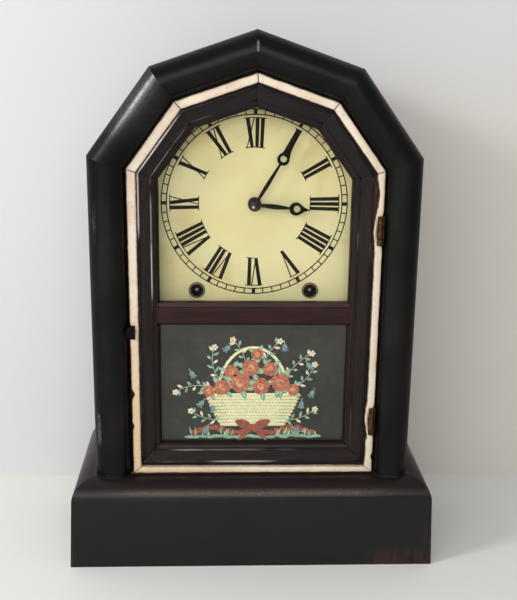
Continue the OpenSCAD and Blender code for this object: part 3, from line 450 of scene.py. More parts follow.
def tabletGround():
    s = Shader("tabletGround", specular=0.2, coatRoughness=0.06)
    cloud = s.noise(0.05, 4.0, 0.65)
    fine = s.noise(0.9, 3.0, 0.7)
    colour = s.mix(cloud.ease(0.35, 0.7), rgb(38, 38, 33), rgb(52, 51, 44))
    colour = s.mix(fine.ease(0.6, 0.75) * 0.2, colour, rgb(78, 80, 70))
    edge = (s.x.size().ease(*tabletRim["x"]) + s.z.fade(*tabletRim["z"])).least(1.0)
    colour = s.mix(edge * 0.4, colour, rgb(38, 38, 36))
    return s.finish(baseColor=colour, roughness=0.4, coatWeight=0.5)


def artPaint(name, first, second, fleck):
    s = Shader(name, specular=0.2, coatRoughness=0.06)
    dabs = s.noise(0.3, 4.0, 0.75, distort=0.6)
    fine = s.noise(1.6, 3.0, 0.7)
    colour = s.mix(dabs.ease(0.38, 0.64), first, second)
    colour = s.mix(fine.ease(0.56, 0.7) * fleck, colour, rgb(222, 210, 180))
    colour = s.mix(fine.fade(0.3, 0.42) * 0.35, colour, rgb(60, 56, 48))
    return s.finish(baseColor=colour, roughness=0.45 + fine * 0.1, coatWeight=0.5,
                    normal=s.bump(dabs, 0.03))


# Dressing the CAD nodes

def dress(material, *names):
    for name in names:
        for slot in nodes[name].material_slots:
            slot.link = "OBJECT"
            slot.material = material


rounding = {"weld": 0.01, "segments": 2, "sharper": 28}


def soften(width, *names):
    for name in names:
        weld = nodes[name].modifiers.new("weld", "WELD")
        weld.merge_threshold = rounding["weld"] * mm
        bevel = nodes[name].modifiers.new("softEdges", "BEVEL")
        bevel.width = width * mm
        bevel.segments = rounding["segments"]
        bevel.limit_method = "ANGLE"
        bevel.angle_limit = math.radians(rounding["sharper"])


# The grain runs along each member: its angle is measured from +X towards -Z
members = {"half_round_left": 90, "half_round_right": 90, "half_round_arch_1": -60,
           "half_round_arch_2": -20, "half_round_arch_3": 20, "half_round_arch_4": 60}
# How they shine: the three slopes that aren't named are duller all over; the upper left slope,
# which faces the window, has a lighter black, painted light
polish = {"half_round_left": {"polished": sidePolish}, "half_round_right": {"polished": sidePolish},
          "half_round_arch_1": {"shine": 2.1, "soft": 0.34, "coatIor": 1.6,
                                "polished": cornerPolish, "black": rgb(16, 14, 16)}}
duller = {"shine": 0.72, "soft": 0.26}
for seed, (name, angle) in enumerate(members.items()):
    finish = caseLacquer("lacquer_" + name, angle, seed + 1, mouldWear, **polish.get(name, duller))
    dress(finish, name)
dress(caseLacquer("lacquer_frame", 90, 9), "front_frame", "case_side_left", "case_side_right")
dress(caseLacquer("lacquer_roof", 0, 10), "roof_boards")
dress(caseLacquer("lacquer_base", 0, 11, baseWearAndSheen, 0.6, lacquer["base"], 0.26, 0.25),
      "base_front")
dress(caseLacquer("lacquer_base_sides", 0, 13, sidePaintedSheen, 1.0, lacquer["base"], 0.3),
      "base_side_left", "base_side_right")
dress(doorWood("door_stiles", 90, 2, strength=0.4, wear=stileWear),
      "door_stile_left", "door_stile_right")
dress(doorWood("door_arch", 90, 4, rgb(21, 15, 15), rgb(36, 24, 22), 0.35), "door_arch_rails")
dress(doorWood("door_rail_low", 0, 5), "door_bottom_rail", "glazing_strips")
dress(doorWood("door_rail_mid", 0, 7, rgb(32, 15, 14), rgb(58, 27, 23)), "door_mid_rail")
dress(bareWood("pine_across", 0, 3), "base_rear_rail", "base_deck", "base_glue_blocks")
dress(bareWood("pine_upright", 90, 6), "back_board", "dial_strips", "movement_blocks")
dress(clearGlass(), "upper_glass")
dress(tabletGround(), "tablet_glass")
dress(dialPaint(), "dial_plate")
dress(agedMetal("hinge_brass", rgb(92, 66, 40), rgb(14, 9, 7), 0.36, 0.8, 1.15, 0.35,
               specular=0.2, patches=0.5),
      "hinge_case_leaves", "hinge_door_leaves", "hinge_pins")
dress(agedMetal("catch_iron", rgb(12, 8, 9), rgb(30, 18, 16), 0.3, 0.2, specular=0.06,
               patches=0.4), "door_catch")
dress(grommetBrass(), "winding_grommets")
movementBrass = agedMetal("movement_brass", rgb(198, 156, 88), rgb(120, 88, 48), 0.28)
dress(movementBrass, "back_plate", "minute_pipe", "centre_wheel", "hour_pipe",
      "motion_wheel", "time_second_wheel", "time_third_wheel", "time_fourth_wheel",
      "escape_wheel", "strike_second_wheel", "strike_third_wheel", "fly", "pendulum_rod",
      "pendulum_bob")
dress(agedMetal("winding_brass", rgb(198, 156, 88), rgb(120, 88, 48), 0.28, darkTo=-3.0),
      "time_great_wheel", "strike_great_wheel", "front_plate")
dress(agedMetal("spring_steel", rgb(128, 130, 134), rgb(70, 62, 56), 0.32),
      "screws", "mainsprings", "gong_coil", "verge", "hammer")
dress(agedMetal("gong_iron", rgb(46, 46, 48), rgb(60, 48, 40), 0.6, 0.4), "gong_block")
dress(agedMetal("hand_black", rgb(9, 6, 5), rgb(20, 14, 11), 0.4, 0.0, 0.5, 0.02, specular=0.06),
      "minute_hand", "hour_hand")
dress(bossSteel(), "hand_boss")
soften(1.4, "base_front", "base_side_left", "base_side_right")
soften(0.35, "door_stile_left", "door_stile_right", "door_bottom_rail", "door_mid_rail",
       "door_arch_rails")
print("nodes dressed")


# Shapes for what is printed and painted

def newPiece(name, mesh, material, body, slot, *replaced):
    data = bpy.data.meshes.new(name)
    mesh.to_mesh(data)
    mesh.free()
    piece = bpy.data.objects.new(name, data)
    bpy.context.scene.collection.objects.link(piece)
    data.materials.append(material)
    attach(piece, body)
    if replaced:
        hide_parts(*replaced)


def shear(amount):
    return Matrix(((1, 0, amount, 0), (0, 1, 0, 0), (0, 0, 1, 0), (0, 0, 0, 1)))


def bar(mesh, x, z, wide, high, depth, lean=0.0):
    # An upright bar in the plane of the front, centred at x, z; lean moves its top to +X
    matrix = Matrix.Translation((x * mm, 0, z * mm)) @ shear(lean / high) \
        @ Matrix.Diagonal((wide * mm, depth * mm, high * mm, 1))
    return bmesh.ops.create_cube(mesh, size=1.0, matrix=matrix)["verts"]


def ring(mesh, place, radius, wide, depth, steps):
    # A flat ring: one upright bar, turned into a strip of a circle, is spun about the dial's axis
    half = math.radians(180 / steps)
    verts = bar(mesh, 0, radius, 2 * radius * math.tan(half), wide, depth)
    for vert in verts:
        vert.co.x *= vert.co.z / (radius * mm)
    bmesh.ops.transform(mesh, matrix=place, verts=verts)
    faces = list({f for v in verts for f in v.link_faces})
    for step in range(1, steps):
        copy = bmesh.ops.duplicate(mesh, geom=faces)["geom"]
        copied = [g for g in copy if isinstance(g, bmesh.types.BMVert)]
        bmesh.ops.rotate(mesh, cent=place.translation, verts=copied,
                         matrix=Matrix.Rotation(2 * half * step, 3, "Y"))
    bmesh.ops.remove_doubles(mesh, verts=mesh.verts, dist=0.001 * mm)


def dialPlace(turn):
    return Matrix.Translation((0, dial["y"] * mm, dial["z"] * mm)) \
        @ Matrix.Rotation(math.radians(turn), 4, "Y")


dial = {"y": -18.83, "z": dialHeight, "print": 0.06, "feet": 42.0, "heads": 63.6, "thick": 2.95,
        "thin": 0.9, "serif": 0.7, "overhang": 1.6, "inset": 0.6, "serifSteps": 8,
        "narrowing": 0.14, "inner": 65.9, "outer": 69.9, "line": 0.85, "square": 2.7,
        "ringSteps": 120, "minutes": 60, "hours": 12}
texts = ("I", "II", "III", "IIII", "V", "VI", "VII", "VIII", "IX", "X", "XI", "XII")
# Width of each letter, and its strokes: middle, share of the thick stroke's width, lean
letters = {"I": (4.0, ((0.0, 1.0, 0.0),)),
           "V": (7.2, ((-1.3, 1.0, -3.0), (1.9, 0.0, 3.2))),
           "X": (7.0, ((-0.2, 1.0, -3.2), (0.0, 0.0, 6.0)))}


def numeral(mesh, place, text):
    high = dial["heads"] - dial["feet"]
    middle = (dial["heads"] + dial["feet"]) / 2
    total = sum(letters[letter][0] for letter in text)
    x = -total / 2
    verts, footed = [], []
    for letter in text:
        wide, parts = letters[letter]
        for at, thick, lean in parts:
            stroke = dial["thin"] + thick * (dial["thick"] - dial["thin"])
            verts += bar(mesh, x + wide / 2 + at, middle, stroke, high, dial["print"], lean)
        if letter != "V":
            footed += [x, x + wide]
        x += wide
    spans = [(-total / 2, total / 2, dial["heads"])]
    if footed:
        spans.append((min(footed), max(footed), dial["feet"]))
    steps = dial["serifSteps"]
    for low, top, z in spans:
        low = low + dial["inset"] - dial["overhang"]
        top = top - dial["inset"] + dial["overhang"]
        step = (top - low) / steps
        for k in range(steps):
            verts += bar(mesh, low + (k + 0.5) * step, z, step, dial["serif"], dial["print"] * 1.2)
    for vert in verts:  # every numeral narrows to its feet and follows the circle
        share = (dial["heads"] - vert.co.z / mm) / high
        vert.co.x *= 1 - dial["narrowing"] * share
        vert.co.z -= vert.co.x ** 2 / (2 * vert.co.z)
    bmesh.ops.transform(mesh, matrix=place, verts=verts)


ink = printInk()
figures = bmesh.new()
for hour, text in enumerate(texts):
    numeral(figures, dialPlace(360 / dial["hours"] * (hour + 1)), text)
newPiece("dial_numerals", figures, ink, "case", "dial")
track = bmesh.new()
for radius in (dial["inner"], dial["outer"]):
    ring(track, dialPlace(0), radius, dial["line"], dial["print"], dial["ringSteps"])
for minute in range(dial["minutes"]):
    wide = dial["square"] if minute % (dial["minutes"] / dial["hours"]) == 0 else dial["line"]
    mark = bar(track, 0, (dial["inner"] + dial["outer"]) / 2, wide, dial["outer"] - dial["inner"],
               dial["print"] * 1.1)
    bmesh.ops.transform(track, matrix=dialPlace(360 / dial["minutes"] * minute), verts=mark)
newPiece("dial_minute_track", track, ink, "case", "dial")
print("dial printed")


# Bead: seven strips of painted wood, a little uneven, with open mitres

bead = {"thick": 4.4, "front": -43.4, "step": 1.4, "wobble": 0.27, "mitre": 0.3, "round": 0.9,
        "hinges": (114.4, 264.5), "hinge": 14.7, "bulge": 1.4, "bite": 3.2, "hingeSide": 1,
        "catch": 187.2, "notch": 6.4, "cut": 2.6, "catchSide": 6,
        # Chips: side, height, reach, inner edge (1) or outer (0), depth
        "chips": ((1, 291.0, 13.0, 1, 2.0), (1, 98.0, 3.6, 1, 1.0), (1, 84.0, 3.0, 0, 1.1),
                  (6, 136.5, 4.2, 0, 2.3), (6, 110.5, 3.2, 0, 1.2))}
# Insets of the strips' outer and inner edges from the door's outline, at both ends:
# bottom, right, four slopes from the right, left
beadEdges = (((-0.6, -0.6), (4.3, 3.6)), ((-0.3, -0.3), (5.5, 5.2)), ((-0.2, -0.3), (5.4, 6.0)),
             ((-0.3, -0.3), (5.8, 5.8)), ((-0.1, -0.1), (6.5, 6.7)), ((0.0, 0.1), (7.2, 7.2)),
             ((0.1, 1.2), (7.2, 7.2)))
doorLine = {"half": 93.65, "low": 72.0, "shoulder": 308.4, "upperX": 58.7, "upperZ": 356.3,
            "apex": 376.5}
# Share of the bead's width, and of its rounding there
beadProfile = ((0.0, 1.0), (0.1, 0.25), (0.25, 0.0), (0.5, 0.0), (0.75, 0.0), (0.9, 0.25),
               (1.0, 1.0))
doorSides = 7


def doorCorners(insets):
    # Where the seven sides meet when each is moved inwards, from the lower left
    d = doorLine
    line = [Vector((x, 0, z)) for x, z in ((-d["half"], d["low"]), (d["half"], d["low"]),
                                          (d["half"], d["shoulder"]), (d["upperX"], d["upperZ"]),
                                          (0, d["apex"]), (-d["upperX"], d["upperZ"]),
                                          (-d["half"], d["shoulder"]))]
    moved = []
    for k, start in enumerate(line):
        end = line[(k + 1) % doorSides]
        inwards = (end - start).normalized().cross(Vector((0, 1, 0)))
        first, last = insets[k]
        moved.append((start + inwards * first, end + inwards * last))
    met = [geometry.intersect_line_line(*moved[k - 1], *moved[k])[0] for k in range(doorSides)]
    return [Vector((point.x, point.z)) for point in met]


def hump(value, middle, reach):
    share = min(abs(value - middle) / reach, 1.0)
    return 1 - share * share * (3 - 2 * share)


def doorStrip(mesh, k, outer, inner, profile, shape, bend=None):
    # A strip along side k: its profile gives the share of the width and of the rounding
    a, b, c, d = outer[k], outer[(k + 1) % doorSides], inner[k], inner[(k + 1) % doorSides]
    length = (b - a).length
    count = max(4, round(length / shape["step"]))
    grid = bmesh.ops.create_grid(mesh, x_segments=count, y_segments=len(profile) - 1, size=0.5)
    for vert in grid["verts"]:
        along = min(max(vert.co.x + 0.5, shape["mitre"] / length), 1 - shape["mitre"] / length)
        across, drop = profile[round((vert.co.y + 0.5) * (len(profile) - 1))]
        place = Vector((along * length / 9, across * 1.7, k * 5.0))
        wavy = noise.noise(place) + 0.5 * noise.noise(place * 4.3)
        point = (a + along * (b - a)).lerp(c + along * (d - c), across)
        shift = shape["wobble"] * wavy
        if bend:
            shift += bend(k, (a + along * (b - a)).y, across)
        point += Vector((-(b - a).y, (b - a).x)).normalized() * shift
        y = shape["front"] + shape["round"] * drop * (1 + shape["wobble"] * wavy)
        vert.co = Vector((point.x, y, point.y)) * mm
    faces = list({f for v in grid["verts"] for f in v.link_faces})
    rim = [e for e in {e for f in faces for e in f.edges} if e.is_boundary]
    wall = bmesh.ops.extrude_edge_only(mesh, edges=rim)["geom"]
    for vert in (g for g in wall if isinstance(g, bmesh.types.BMVert)):
        vert.co.y = (shape["front"] + shape["thick"]) * mm
    back = [g for g in wall if isinstance(g, bmesh.types.BMEdge) and g.is_boundary]
    bmesh.ops.holes_fill(mesh, edges=back, sides=0)


def settle(parts, place):
    # Extruding leaves new parts in any order; sorted by place they are the same in every run
    order = {part: rank for rank, part in enumerate(sorted(parts, key=place))}
    parts.sort(key=order.get)


def doorPiece(name, mesh, material, slot, *replaced):
    bmesh.ops.recalc_face_normals(mesh, faces=mesh.faces)
    for face in mesh.faces:
        face.smooth = abs(face.normal.y) > 0.1
    settle(mesh.verts, lambda vert: tuple(vert.co))
    settle(mesh.faces, lambda face: tuple(face.calc_center_median()))
    newPiece(name, mesh, material, "door", slot, *replaced)


def beadBend(k, z, across):
    # Bent inwards and thinned beside each hinge, cut into for the catch, and chipped
    shift = 0.0
    for side, height, reach, edge, depth in bead["chips"]:
        if side == k:
            ragged = 1 + 0.5 * noise.noise(Vector((z * 0.45, side, 3.0)))
            share = across ** 3 if edge else (1 - across) ** 3
            shift += (1 - 2 * edge) * depth * share * hump(z, height, reach) ** 0.5 * ragged
    if k == bead["hingeSide"]:
        near = max(hump(z, hinge, bead["hinge"]) for hinge in bead["hinges"])
        shift += near * (bead["bulge"] + (1 - across) * bead["bite"])
    if k == bead["catchSide"]:
        shift += bead["cut"] * (1 - across) * hump(z, bead["catch"], bead["notch"])
    return shift


strips = bmesh.new()
outer, inner = (doorCorners([side[edge] for side in beadEdges]) for edge in (0, 1))
for k in range(doorSides):
    doorStrip(strips, k, outer, inner, beadProfile, bead, beadBend)
doorPiece("bead_strips", strips, beadPaint(), "cream_bead", "door_bead")

# Small rounded edges of the door's moulding, beside the bead and above the inner hollow: from and
# to are insets; the last list has the ends of each bright length, painted highlight and rubbed
# wear, (left, right, low, high) and its strength
quirks = {"beside_bead": {"from": 7.9, "to": 9.3, "front": -43.05, "thick": 1.4,
                          "rubbedAndHighlit": [(-100, -58, 262, 362, 0.7), (-30, 14, 60, 90, 0.45)]},
          "above_hollow": {"from": 16.9, "to": 18.1, "front": -40.9, "thick": 1.2,
                           "rubbedAndHighlit": [(-100, -70, 214, 254, 0.7), (-100, -70, 254, 288, 0.35),
                                      (-60, -38, 60, 110, 0.35), (-38, 6, 60, 110, 0.18)]}}
quirkShape = {"step": 6.0, "wobble": 0.04, "mitre": 0.05, "round": 0.55}
quirkProfile = [((1 - math.cos(a)) / 2, 1 - math.sin(a)) for a in
                (math.radians(18 * n) for n in range(11))]
for seed, (name, quirk) in enumerate(quirks.items()):
    shape = {**quirk, **quirkShape}
    edges = bmesh.new()
    outer, inner = (doorCorners([(quirk[edge],) * 2] * doorSides) for edge in ("from", "to"))
    for k in range(doorSides):
        doorStrip(edges, k, outer, inner, quirkProfile, shape)
    finish = edgeWood("edge_" + name, seed, quirk["rubbedAndHighlit"])
    doorPiece("door_edge_" + name, edges, finish, "dark_wood")
print("bead laid")


# Tablet: a painted basket of roses with leaves, sprays and small bells
# Roses: x, z, size; sprays: x, z, direction, length, which way they curl; bells: x, z

art = {"y": -34.04, "thick": 0.05, "layer": 0.06, "lift": 0.008, "lifts": 7, "drawn": 0.92,
       "seed": 5,
       "roses": ((-24, 139, 6.4), (-10, 143, 8.2), (6, 140, 7.0), (21, 143, 7.6), (-17, 152, 5.6),
                 (-2, 155, 6.8), (13, 154, 5.8), (31, 137, 5.0), (-34, 136, 5.0), (3, 166, 4.8)),
       "sprays": ((-28, 136, 150, 34, 1), (-26, 146, 125, 30, -1), (30, 138, 28, 30, 1),
                  (26, 148, 58, 30, -1), (-6, 160, 105, 22, 1), (9, 160, 72, 21, -1),
                  (-26, 112, 176, 27, -1), (27, 112, 4, 26, 1)),
       "bells": ((-40, 126), (-31, 122), (38, 125), (46, 134), (-47, 150), (43, 157), (-20, 171),
                 (24, 172), (-36, 104), (34, 103))}
basket = {"z": 107.0, "high": 27.0, "foot": 25.0, "rim": 38.0, "bands": 10, "curve": 0.8,
          "band": 1.25, "slat": 1.08, "slatShort": 2.4, "proud": 0.01, "stitch": 2.4,
          "stitchLong": 1.9, "stitchWide": 0.55, "stitchTurn": 8, "stitchLow": 0.3}
handle = {"radius": 27.0, "thick": 2.6, "z": 133.0, "steps": 46, "tall": 1.42, "long": 3.4,
          "twist": 18}
# Bows: x, z, length, width, turn, point, number of sides
ribbon = {"x": 4, "z": 103.5, "waves": 9, "step": 5.2, "high": 2.4, "bend": 0.9, "turn": -14,
          "swing": 26, "long": 7.5, "wide": 4.6, "knotZ": 106.0, "knot": 6,
          "bows": ((7, 108.5, 15, 7.5, 24, 0.5, 14), (6.5, 100.0, 14, 4.2, -48, 0.4, 12))}
# Shares of a rose's size
rose = {"petalAt": 0.52, "petalLong": 1.15, "petalWide": 0.95, "heartAt": 0.24,
        "heartLong": 0.62, "heartWide": 0.34, "leafAt": 1.15, "leafLong": 1.35,
        "leafWide": 0.62, "veinWide": 0.12}
bell = {"long": 5.4, "wide": 4.0, "lipAt": 3.0, "lips": (-35, 0, 35), "lipLong": 2.6,
        "lipWide": 1.4, "stalkAt": 3.4, "stalkLong": 4.5, "stalkWide": 0.5}
grass = {"blades": 42, "half": 50, "bare": 15, "z": 98.5, "wide": 1.3, "sods": 20, "left": -49,
         "step": 5.2, "low": 98.2, "sodLong": 9, "sodWide": 2.6}
spray = {"step": 3.4, "stalkLong": 4.2, "stalkWide": 0.55, "leafAt": 2.9, "lean": 58,
         "leafTurn": 52, "leafWide": 2.2, "petalAt": 1.5, "petalLong": 2.4, "petalWide": 1.9,
         "heart": 1.3}


def dab(kind, x, z, long, wide, turn=0.0, layer=0, point=0.0, sides=12):
    # A thin dab of paint, the further forward the higher its layer; point 0 leaves it oval,
    # 1 draws both ends out
    mesh = paints[kind]
    verts = bmesh.ops.create_cone(mesh, cap_ends=True, segments=sides, radius1=1, radius2=1,
                                  depth=1)["verts"]
    angle = math.radians(turn)
    # Dabs laid over one another are lifted a little, in turn
    turns = (len(mesh.verts) // (2 * sides)) % art["lifts"]
    y = art["y"] - layer * art["layer"] - turns * art["lift"]
    for vert in verts:
        along, across, deep = vert.co
        across *= 1 - point * along * along * art["drawn"]
        u, v = along * long / 2, across * wide / 2
        vert.co = Vector((x + u * math.cos(angle) - v * math.sin(angle),
                          y + deep * art["thick"] / 2,
                          z + u * math.sin(angle) + v * math.cos(angle))) * mm


def polar(x, z, reach, degrees):
    angle = math.radians(degrees)
    return x + reach * math.cos(angle), z + reach * math.sin(angle)


chance = random.Random(art["seed"])
paints = {name: bmesh.new() for name in ("basket", "weave", "roses", "rose_hearts", "leaves",
                                         "leaf_lights", "blossoms", "bells", "ribbon")}

high = basket["high"] / basket["bands"]
for band in range(basket["bands"]):  # the basket narrows to its foot, one woven band over another
    share = (band + 0.5) / basket["bands"]
    half = basket["foot"] + (basket["rim"] - basket["foot"]) * share ** basket["curve"]
    z = basket["z"] + basket["high"] * share
    dab("basket", 0, z, 2 * half, high * basket["band"], 0, 0, 0.0, 24)
    slat = bar(paints["basket"], 0, z, 2 * half - basket["slatShort"], high * basket["slat"],
               art["thick"])
    bmesh.ops.translate(paints["basket"], verts=slat, vec=(0, (art["y"] + basket["proud"]) * mm, 0))
    count = int(half / basket["stitch"])
    for n in range(-count, count + 1):
        dab("weave", (n + 0.5 * (band % 2)) * basket["stitch"], z - high * basket["stitchLow"],
            basket["stitchLong"], basket["stitchWide"],
            basket["stitchTurn"] * (1 if band % 2 else -1), 1, 0.4, 8)
for step in range(handle["steps"]):
    angle = 180 * (step + 0.5) / handle["steps"]
    x, z = polar(0, handle["z"], handle["radius"], angle)
    twist = handle["twist"] if step % 2 else -handle["twist"]
    dab("basket", x, handle["z"] + (z - handle["z"]) * handle["tall"], handle["long"],
        handle["thick"], angle + 90 + twist, 0, 0.3, 8)
for side in (-1, 1):
    for n in range(ribbon["waves"]):  # a ribbon lies under the basket
        dab("ribbon", side * (ribbon["x"] + n * ribbon["step"]),
            ribbon["z"] - ribbon["high"] * math.sin(n * ribbon["bend"]), ribbon["long"],
            ribbon["wide"], side * (ribbon["turn"] + ribbon["swing"]
                                    * math.cos(n * ribbon["bend"])), 0, 0.2, 10)
    for x, z, long, wide, turn, point, corners in ribbon["bows"]:
        dab("ribbon", side * x, z, long, wide, side * turn, 2, point, corners)
dab("ribbon", 0, ribbon["knotZ"], ribbon["knot"], ribbon["knot"], 0, 3)
for x, z, size in art["roses"]:
    for turn in range(0, 360, 60):
        px, pz = polar(x, z, size * rose["petalAt"], turn + chance.uniform(-12, 12))
        dab("roses", px, pz, size * rose["petalLong"], size * rose["petalWide"], turn + 90, 2)
    for turn in range(30, 390, 72):
        px, pz = polar(x, z, size * rose["heartAt"], turn + chance.uniform(-15, 15))
        dab("rose_hearts", px, pz, size * rose["heartLong"], size * rose["heartWide"], turn + 90,
            3, 0.3, 10)
    for turn in range(0, 360, 90):  # leaves come out from under each rose
        lx, lz = polar(x, z, size * rose["leafAt"], turn + chance.uniform(0, 80))
        aim = math.degrees(math.atan2(lz - z, lx - x))
        dab("leaves", lx, lz, size * rose["leafLong"], size * rose["leafWide"], aim, 1, 0.9)
        dab("leaf_lights", lx, lz, size, size * rose["veinWide"], aim, 2, 0.9, 8)
for x, z, aim, reach, curl in art["sprays"]:
    for n in range(int(reach / spray["step"])):
        dab("leaf_lights", x, z, spray["stalkLong"], spray["stalkWide"], aim, 1, 0.3, 8)
        side = 1 if n % 2 else -1
        lx, lz = polar(x, z, spray["leafAt"], aim + side * spray["lean"])
        dab("leaves" if (n + curl) % 3 else "blossoms", lx, lz, chance.uniform(4.0, 5.4),
            spray["leafWide"], aim + side * spray["leafTurn"], 1, 0.8, 10)
        x, z = polar(x, z, spray["step"], aim)
        aim += curl * chance.uniform(3, 9)
    for turn in range(0, 360, 72):
        px, pz = polar(x, z, spray["petalAt"], turn)
        dab("blossoms", px, pz, spray["petalLong"], spray["petalWide"], turn, 2, 0.0, 10)
    dab("rose_hearts", x, z, spray["heart"], spray["heart"], 0, 3, 0.0, 8)
for x, z in art["bells"]:
    aim = chance.uniform(40, 140)
    dab("bells", x, z, bell["long"], bell["wide"], aim, 2, 0.35)
    for spread in bell["lips"]:
        px, pz = polar(x, z, bell["lipAt"], aim + 180 + spread)
        dab("bells", px, pz, bell["lipLong"], bell["lipWide"], aim + spread, 2, 0.7, 8)
    px, pz = polar(x, z, bell["stalkAt"], aim)
    dab("leaf_lights", px, pz, bell["stalkLong"], bell["stalkWide"], aim, 1, 0.2, 8)
for n in range(grass["blades"]):  # grass and small sprigs along the ground
    x = chance.uniform(-grass["half"], grass["half"])
    if abs(x) < grass["bare"]:
        continue
    aim = chance.uniform(62, 118)
    long = chance.uniform(4, 9)
    px, pz = polar(x, grass["z"], long / 2, aim)
    dab("leaves" if n % 3 else "leaf_lights", px, pz, long, grass["wide"], aim, 1, 0.85, 8)
for n in range(grass["sods"]):
    dab("leaves", grass["left"] + n * grass["step"], grass["low"] + chance.uniform(-0.8, 0.8),
        grass["sodLong"], grass["sodWide"], chance.uniform(-8, 8), 0, 0.3, 10)

# Two tones of each paint, and how far light flecks show in it
tones = {"basket": (rgb(222, 214, 166), rgb(196, 200, 158), 0.0),
         "weave": (rgb(160, 148, 104), rgb(142, 142, 108), 0.0),
         "roses": (rgb(178, 106, 76), rgb(144, 72, 54), 0.4),
         "rose_hearts": (rgb(206, 154, 108), rgb(166, 88, 66), 0.4),
         "leaves": (rgb(104, 142, 114), rgb(136, 176, 148), 0.4),
         "leaf_lights": (rgb(190, 190, 150), rgb(158, 176, 142), 0.3),
         "blossoms": (rgb(216, 206, 180), rgb(196, 188, 160), 0.3),
         "bells": (rgb(92, 122, 126), rgb(122, 150, 144), 0.4),
         "ribbon": (rgb(150, 76, 56), rgb(124, 58, 44), 0.4)}
for name, paint in paints.items():
    newPiece("tablet_" + name, paint, artPaint("paint_" + name, *tones[name]), "door", "tablet")
print("tablet painted")


# Floor, wall, lamps and camera

studio = {"wall": 101.0, "reach": 2600.0, "gapHalf": 135.0, "gapTop": 400.0,
          "warmX": (60.0, 150.0), "warmZ": (300.0, 430.0), "sky": 0.48,
          "skyColour": (0.9, 0.93, 1.0, 1.0), "paper": 0.7, "paperColour": (1.0, 1.0, 1.0, 1.0)}


def stageSheet(name, colour, matrix, oneSided=False):
    # A one-sided sheet shows from the front alone, open to the light right behind the clock
    s = Shader(name, specular=0.1)
    soft = s.noise(0.004, 2.0, 0.5)
    shade = s.mix(soft, colour, tuple(c * 0.96 for c in colour))
    if oneSided:
        # Warmer low on the right: a painted tint where the clock's shadow falls on the wall
        warm = s.x.ease(*studio["warmX"]) * s.z.fade(*studio["warmZ"])
        shade = s.mix(warm, shade, rgb(205, 200, 192))
    material = s.finish(baseColor=shade, roughness=0.8)
    if oneSided:
        gap = (s.x.size() < studio["gapHalf"]) * (s.z < studio["gapTop"])
        seen = (1.0 - gap + s.add("ShaderNodeLightPath", out="Is Camera Ray")
                + s.add("ShaderNodeLightPath", out="Is Glossy Ray")).least(1.0)
        seen = seen * (1.0 - s.add("ShaderNodeNewGeometry", out="Backfacing"))
        clear = s.add("ShaderNodeBsdfTransparent")
        paint = Value(s, s.surface.outputs[0])
        shown = s.add("ShaderNodeMixShader", {}, {0: seen, 1: clear, 2: paint})
        s.links.new(shown.socket, s.nodes["Material Output"].inputs["Surface"])
    mesh = bmesh.new()
    bmesh.ops.create_grid(mesh, x_segments=1, y_segments=1, size=studio["reach"] * mm,
                          matrix=matrix)
    data = bpy.data.meshes.new(name)
    mesh.to_mesh(data)
    mesh.free()
    data.materials.append(material)
    sheet = bpy.data.objects.new(name, data)
    bpy.context.scene.collection.objects.link(sheet)


stageSheet("floor", rgb(232, 231, 225), Matrix.Identity(4))
stageSheet("wall", rgb(206, 206, 206), Matrix.Translation((0, studio["wall"] * mm, 0))
           @ Matrix.Rotation(math.pi / 2, 4, "X"), oneSided=True)


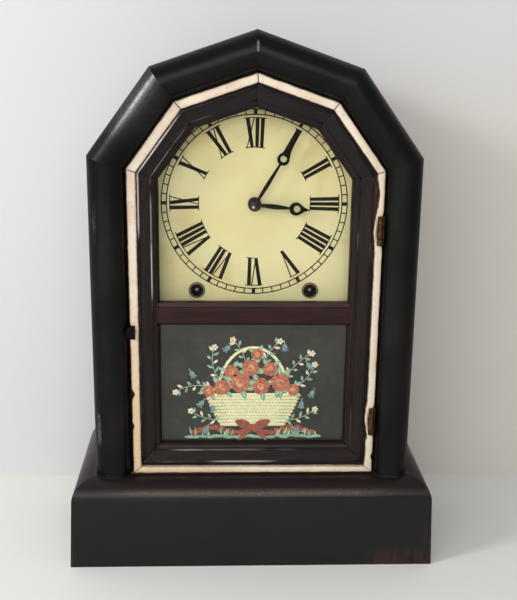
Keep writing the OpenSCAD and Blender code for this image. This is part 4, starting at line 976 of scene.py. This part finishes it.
# The window stands high on the left; the front lamp is broad and weaker for its size
lamps = {"window": {"place": (-1.28, -0.72, 0.95), "target": (-0.05, 0, 0.3), "power": 13.0,
                    "size": (0.34, 0.34), "colour": (0.97, 0.99, 1.0)},
         "front": {"place": (-0.45, -1.9, 0.9), "target": (0, 0, 0.2), "power": 26.0,
                   "size": (2.2, 1.1), "colour": (1.0, 0.99, 0.97)}}
for name, lamp in lamps.items():
    light = bpy.data.lights.new(name, "AREA")
    light.shape = "RECTANGLE"
    light.size, light.size_y = lamp["size"]
    light.energy = lamp["power"]
    light.color = lamp["colour"]
    holder = bpy.data.objects.new(name, light)
    bpy.context.scene.collection.objects.link(holder)
    aim = (Vector(lamp["target"]) - Vector(lamp["place"])).to_track_quat("-Z", "Y")
    holder.matrix_world = Matrix.Translation(lamp["place"]) @ aim.to_matrix().to_4x4()

# The sky lights the room; the camera sees plain paper past the wall's edges
world = bpy.data.worlds.new("studio")
world.use_nodes = True
tree = world.node_tree
sky = tree.nodes["Background"]
sky.inputs["Color"].default_value = studio["skyColour"]
sky.inputs["Strength"].default_value = studio["sky"]
paper = tree.nodes.new("ShaderNodeBackground")
paper.inputs["Color"].default_value = studio["paperColour"]
paper.inputs["Strength"].default_value = studio["paper"]
rays = tree.nodes.new("ShaderNodeLightPath")
either = tree.nodes.new("ShaderNodeMixShader")
for start, end in ((rays.outputs["Is Camera Ray"], either.inputs[0]),
                   (sky.outputs[0], either.inputs[1]), (paper.outputs[0], either.inputs[2]),
                   (either.outputs[0], tree.nodes["World Output"].inputs["Surface"])):
    tree.links.new(start, end)
bpy.context.scene.world = world
bpy.context.scene.view_settings.view_transform = "Standard"

# The photo's camera: place in mm, turns in radians
view = {"x": -27.5, "y": -734.3, "z": 403.2, "yaw": 0.044, "pitch": 0.27, "roll": 0.014,
        "lens": 57.77, "film": 36.0, "near": 0.01}
side = Vector((math.cos(view["yaw"]), -math.sin(view["yaw"]), 0))
ahead = Vector((math.sin(view["yaw"]), math.cos(view["yaw"]), 0))
upward = Vector((0, 0, 1))
look = ahead * math.cos(view["pitch"]) - upward * math.sin(view["pitch"])
top = upward * math.cos(view["pitch"]) + ahead * math.sin(view["pitch"])
right = side * math.cos(view["roll"]) + top * math.sin(view["roll"])
top = top * math.cos(view["roll"]) - side * math.sin(view["roll"])
lens = bpy.data.cameras.new("photoCamera")
lens.lens = view["lens"]
lens.sensor_width = view["film"]
lens.clip_start = view["near"]
camera = bpy.data.objects.new("photoCamera", lens)
camera.matrix_world = Matrix.Translation(Vector((view["x"], view["y"], view["z"])) * mm) \
    @ Matrix((right, top, -look)).transposed().to_4x4()
bpy.context.scene.collection.objects.link(camera)
bpy.context.scene.camera = camera
print("lamps and camera set")
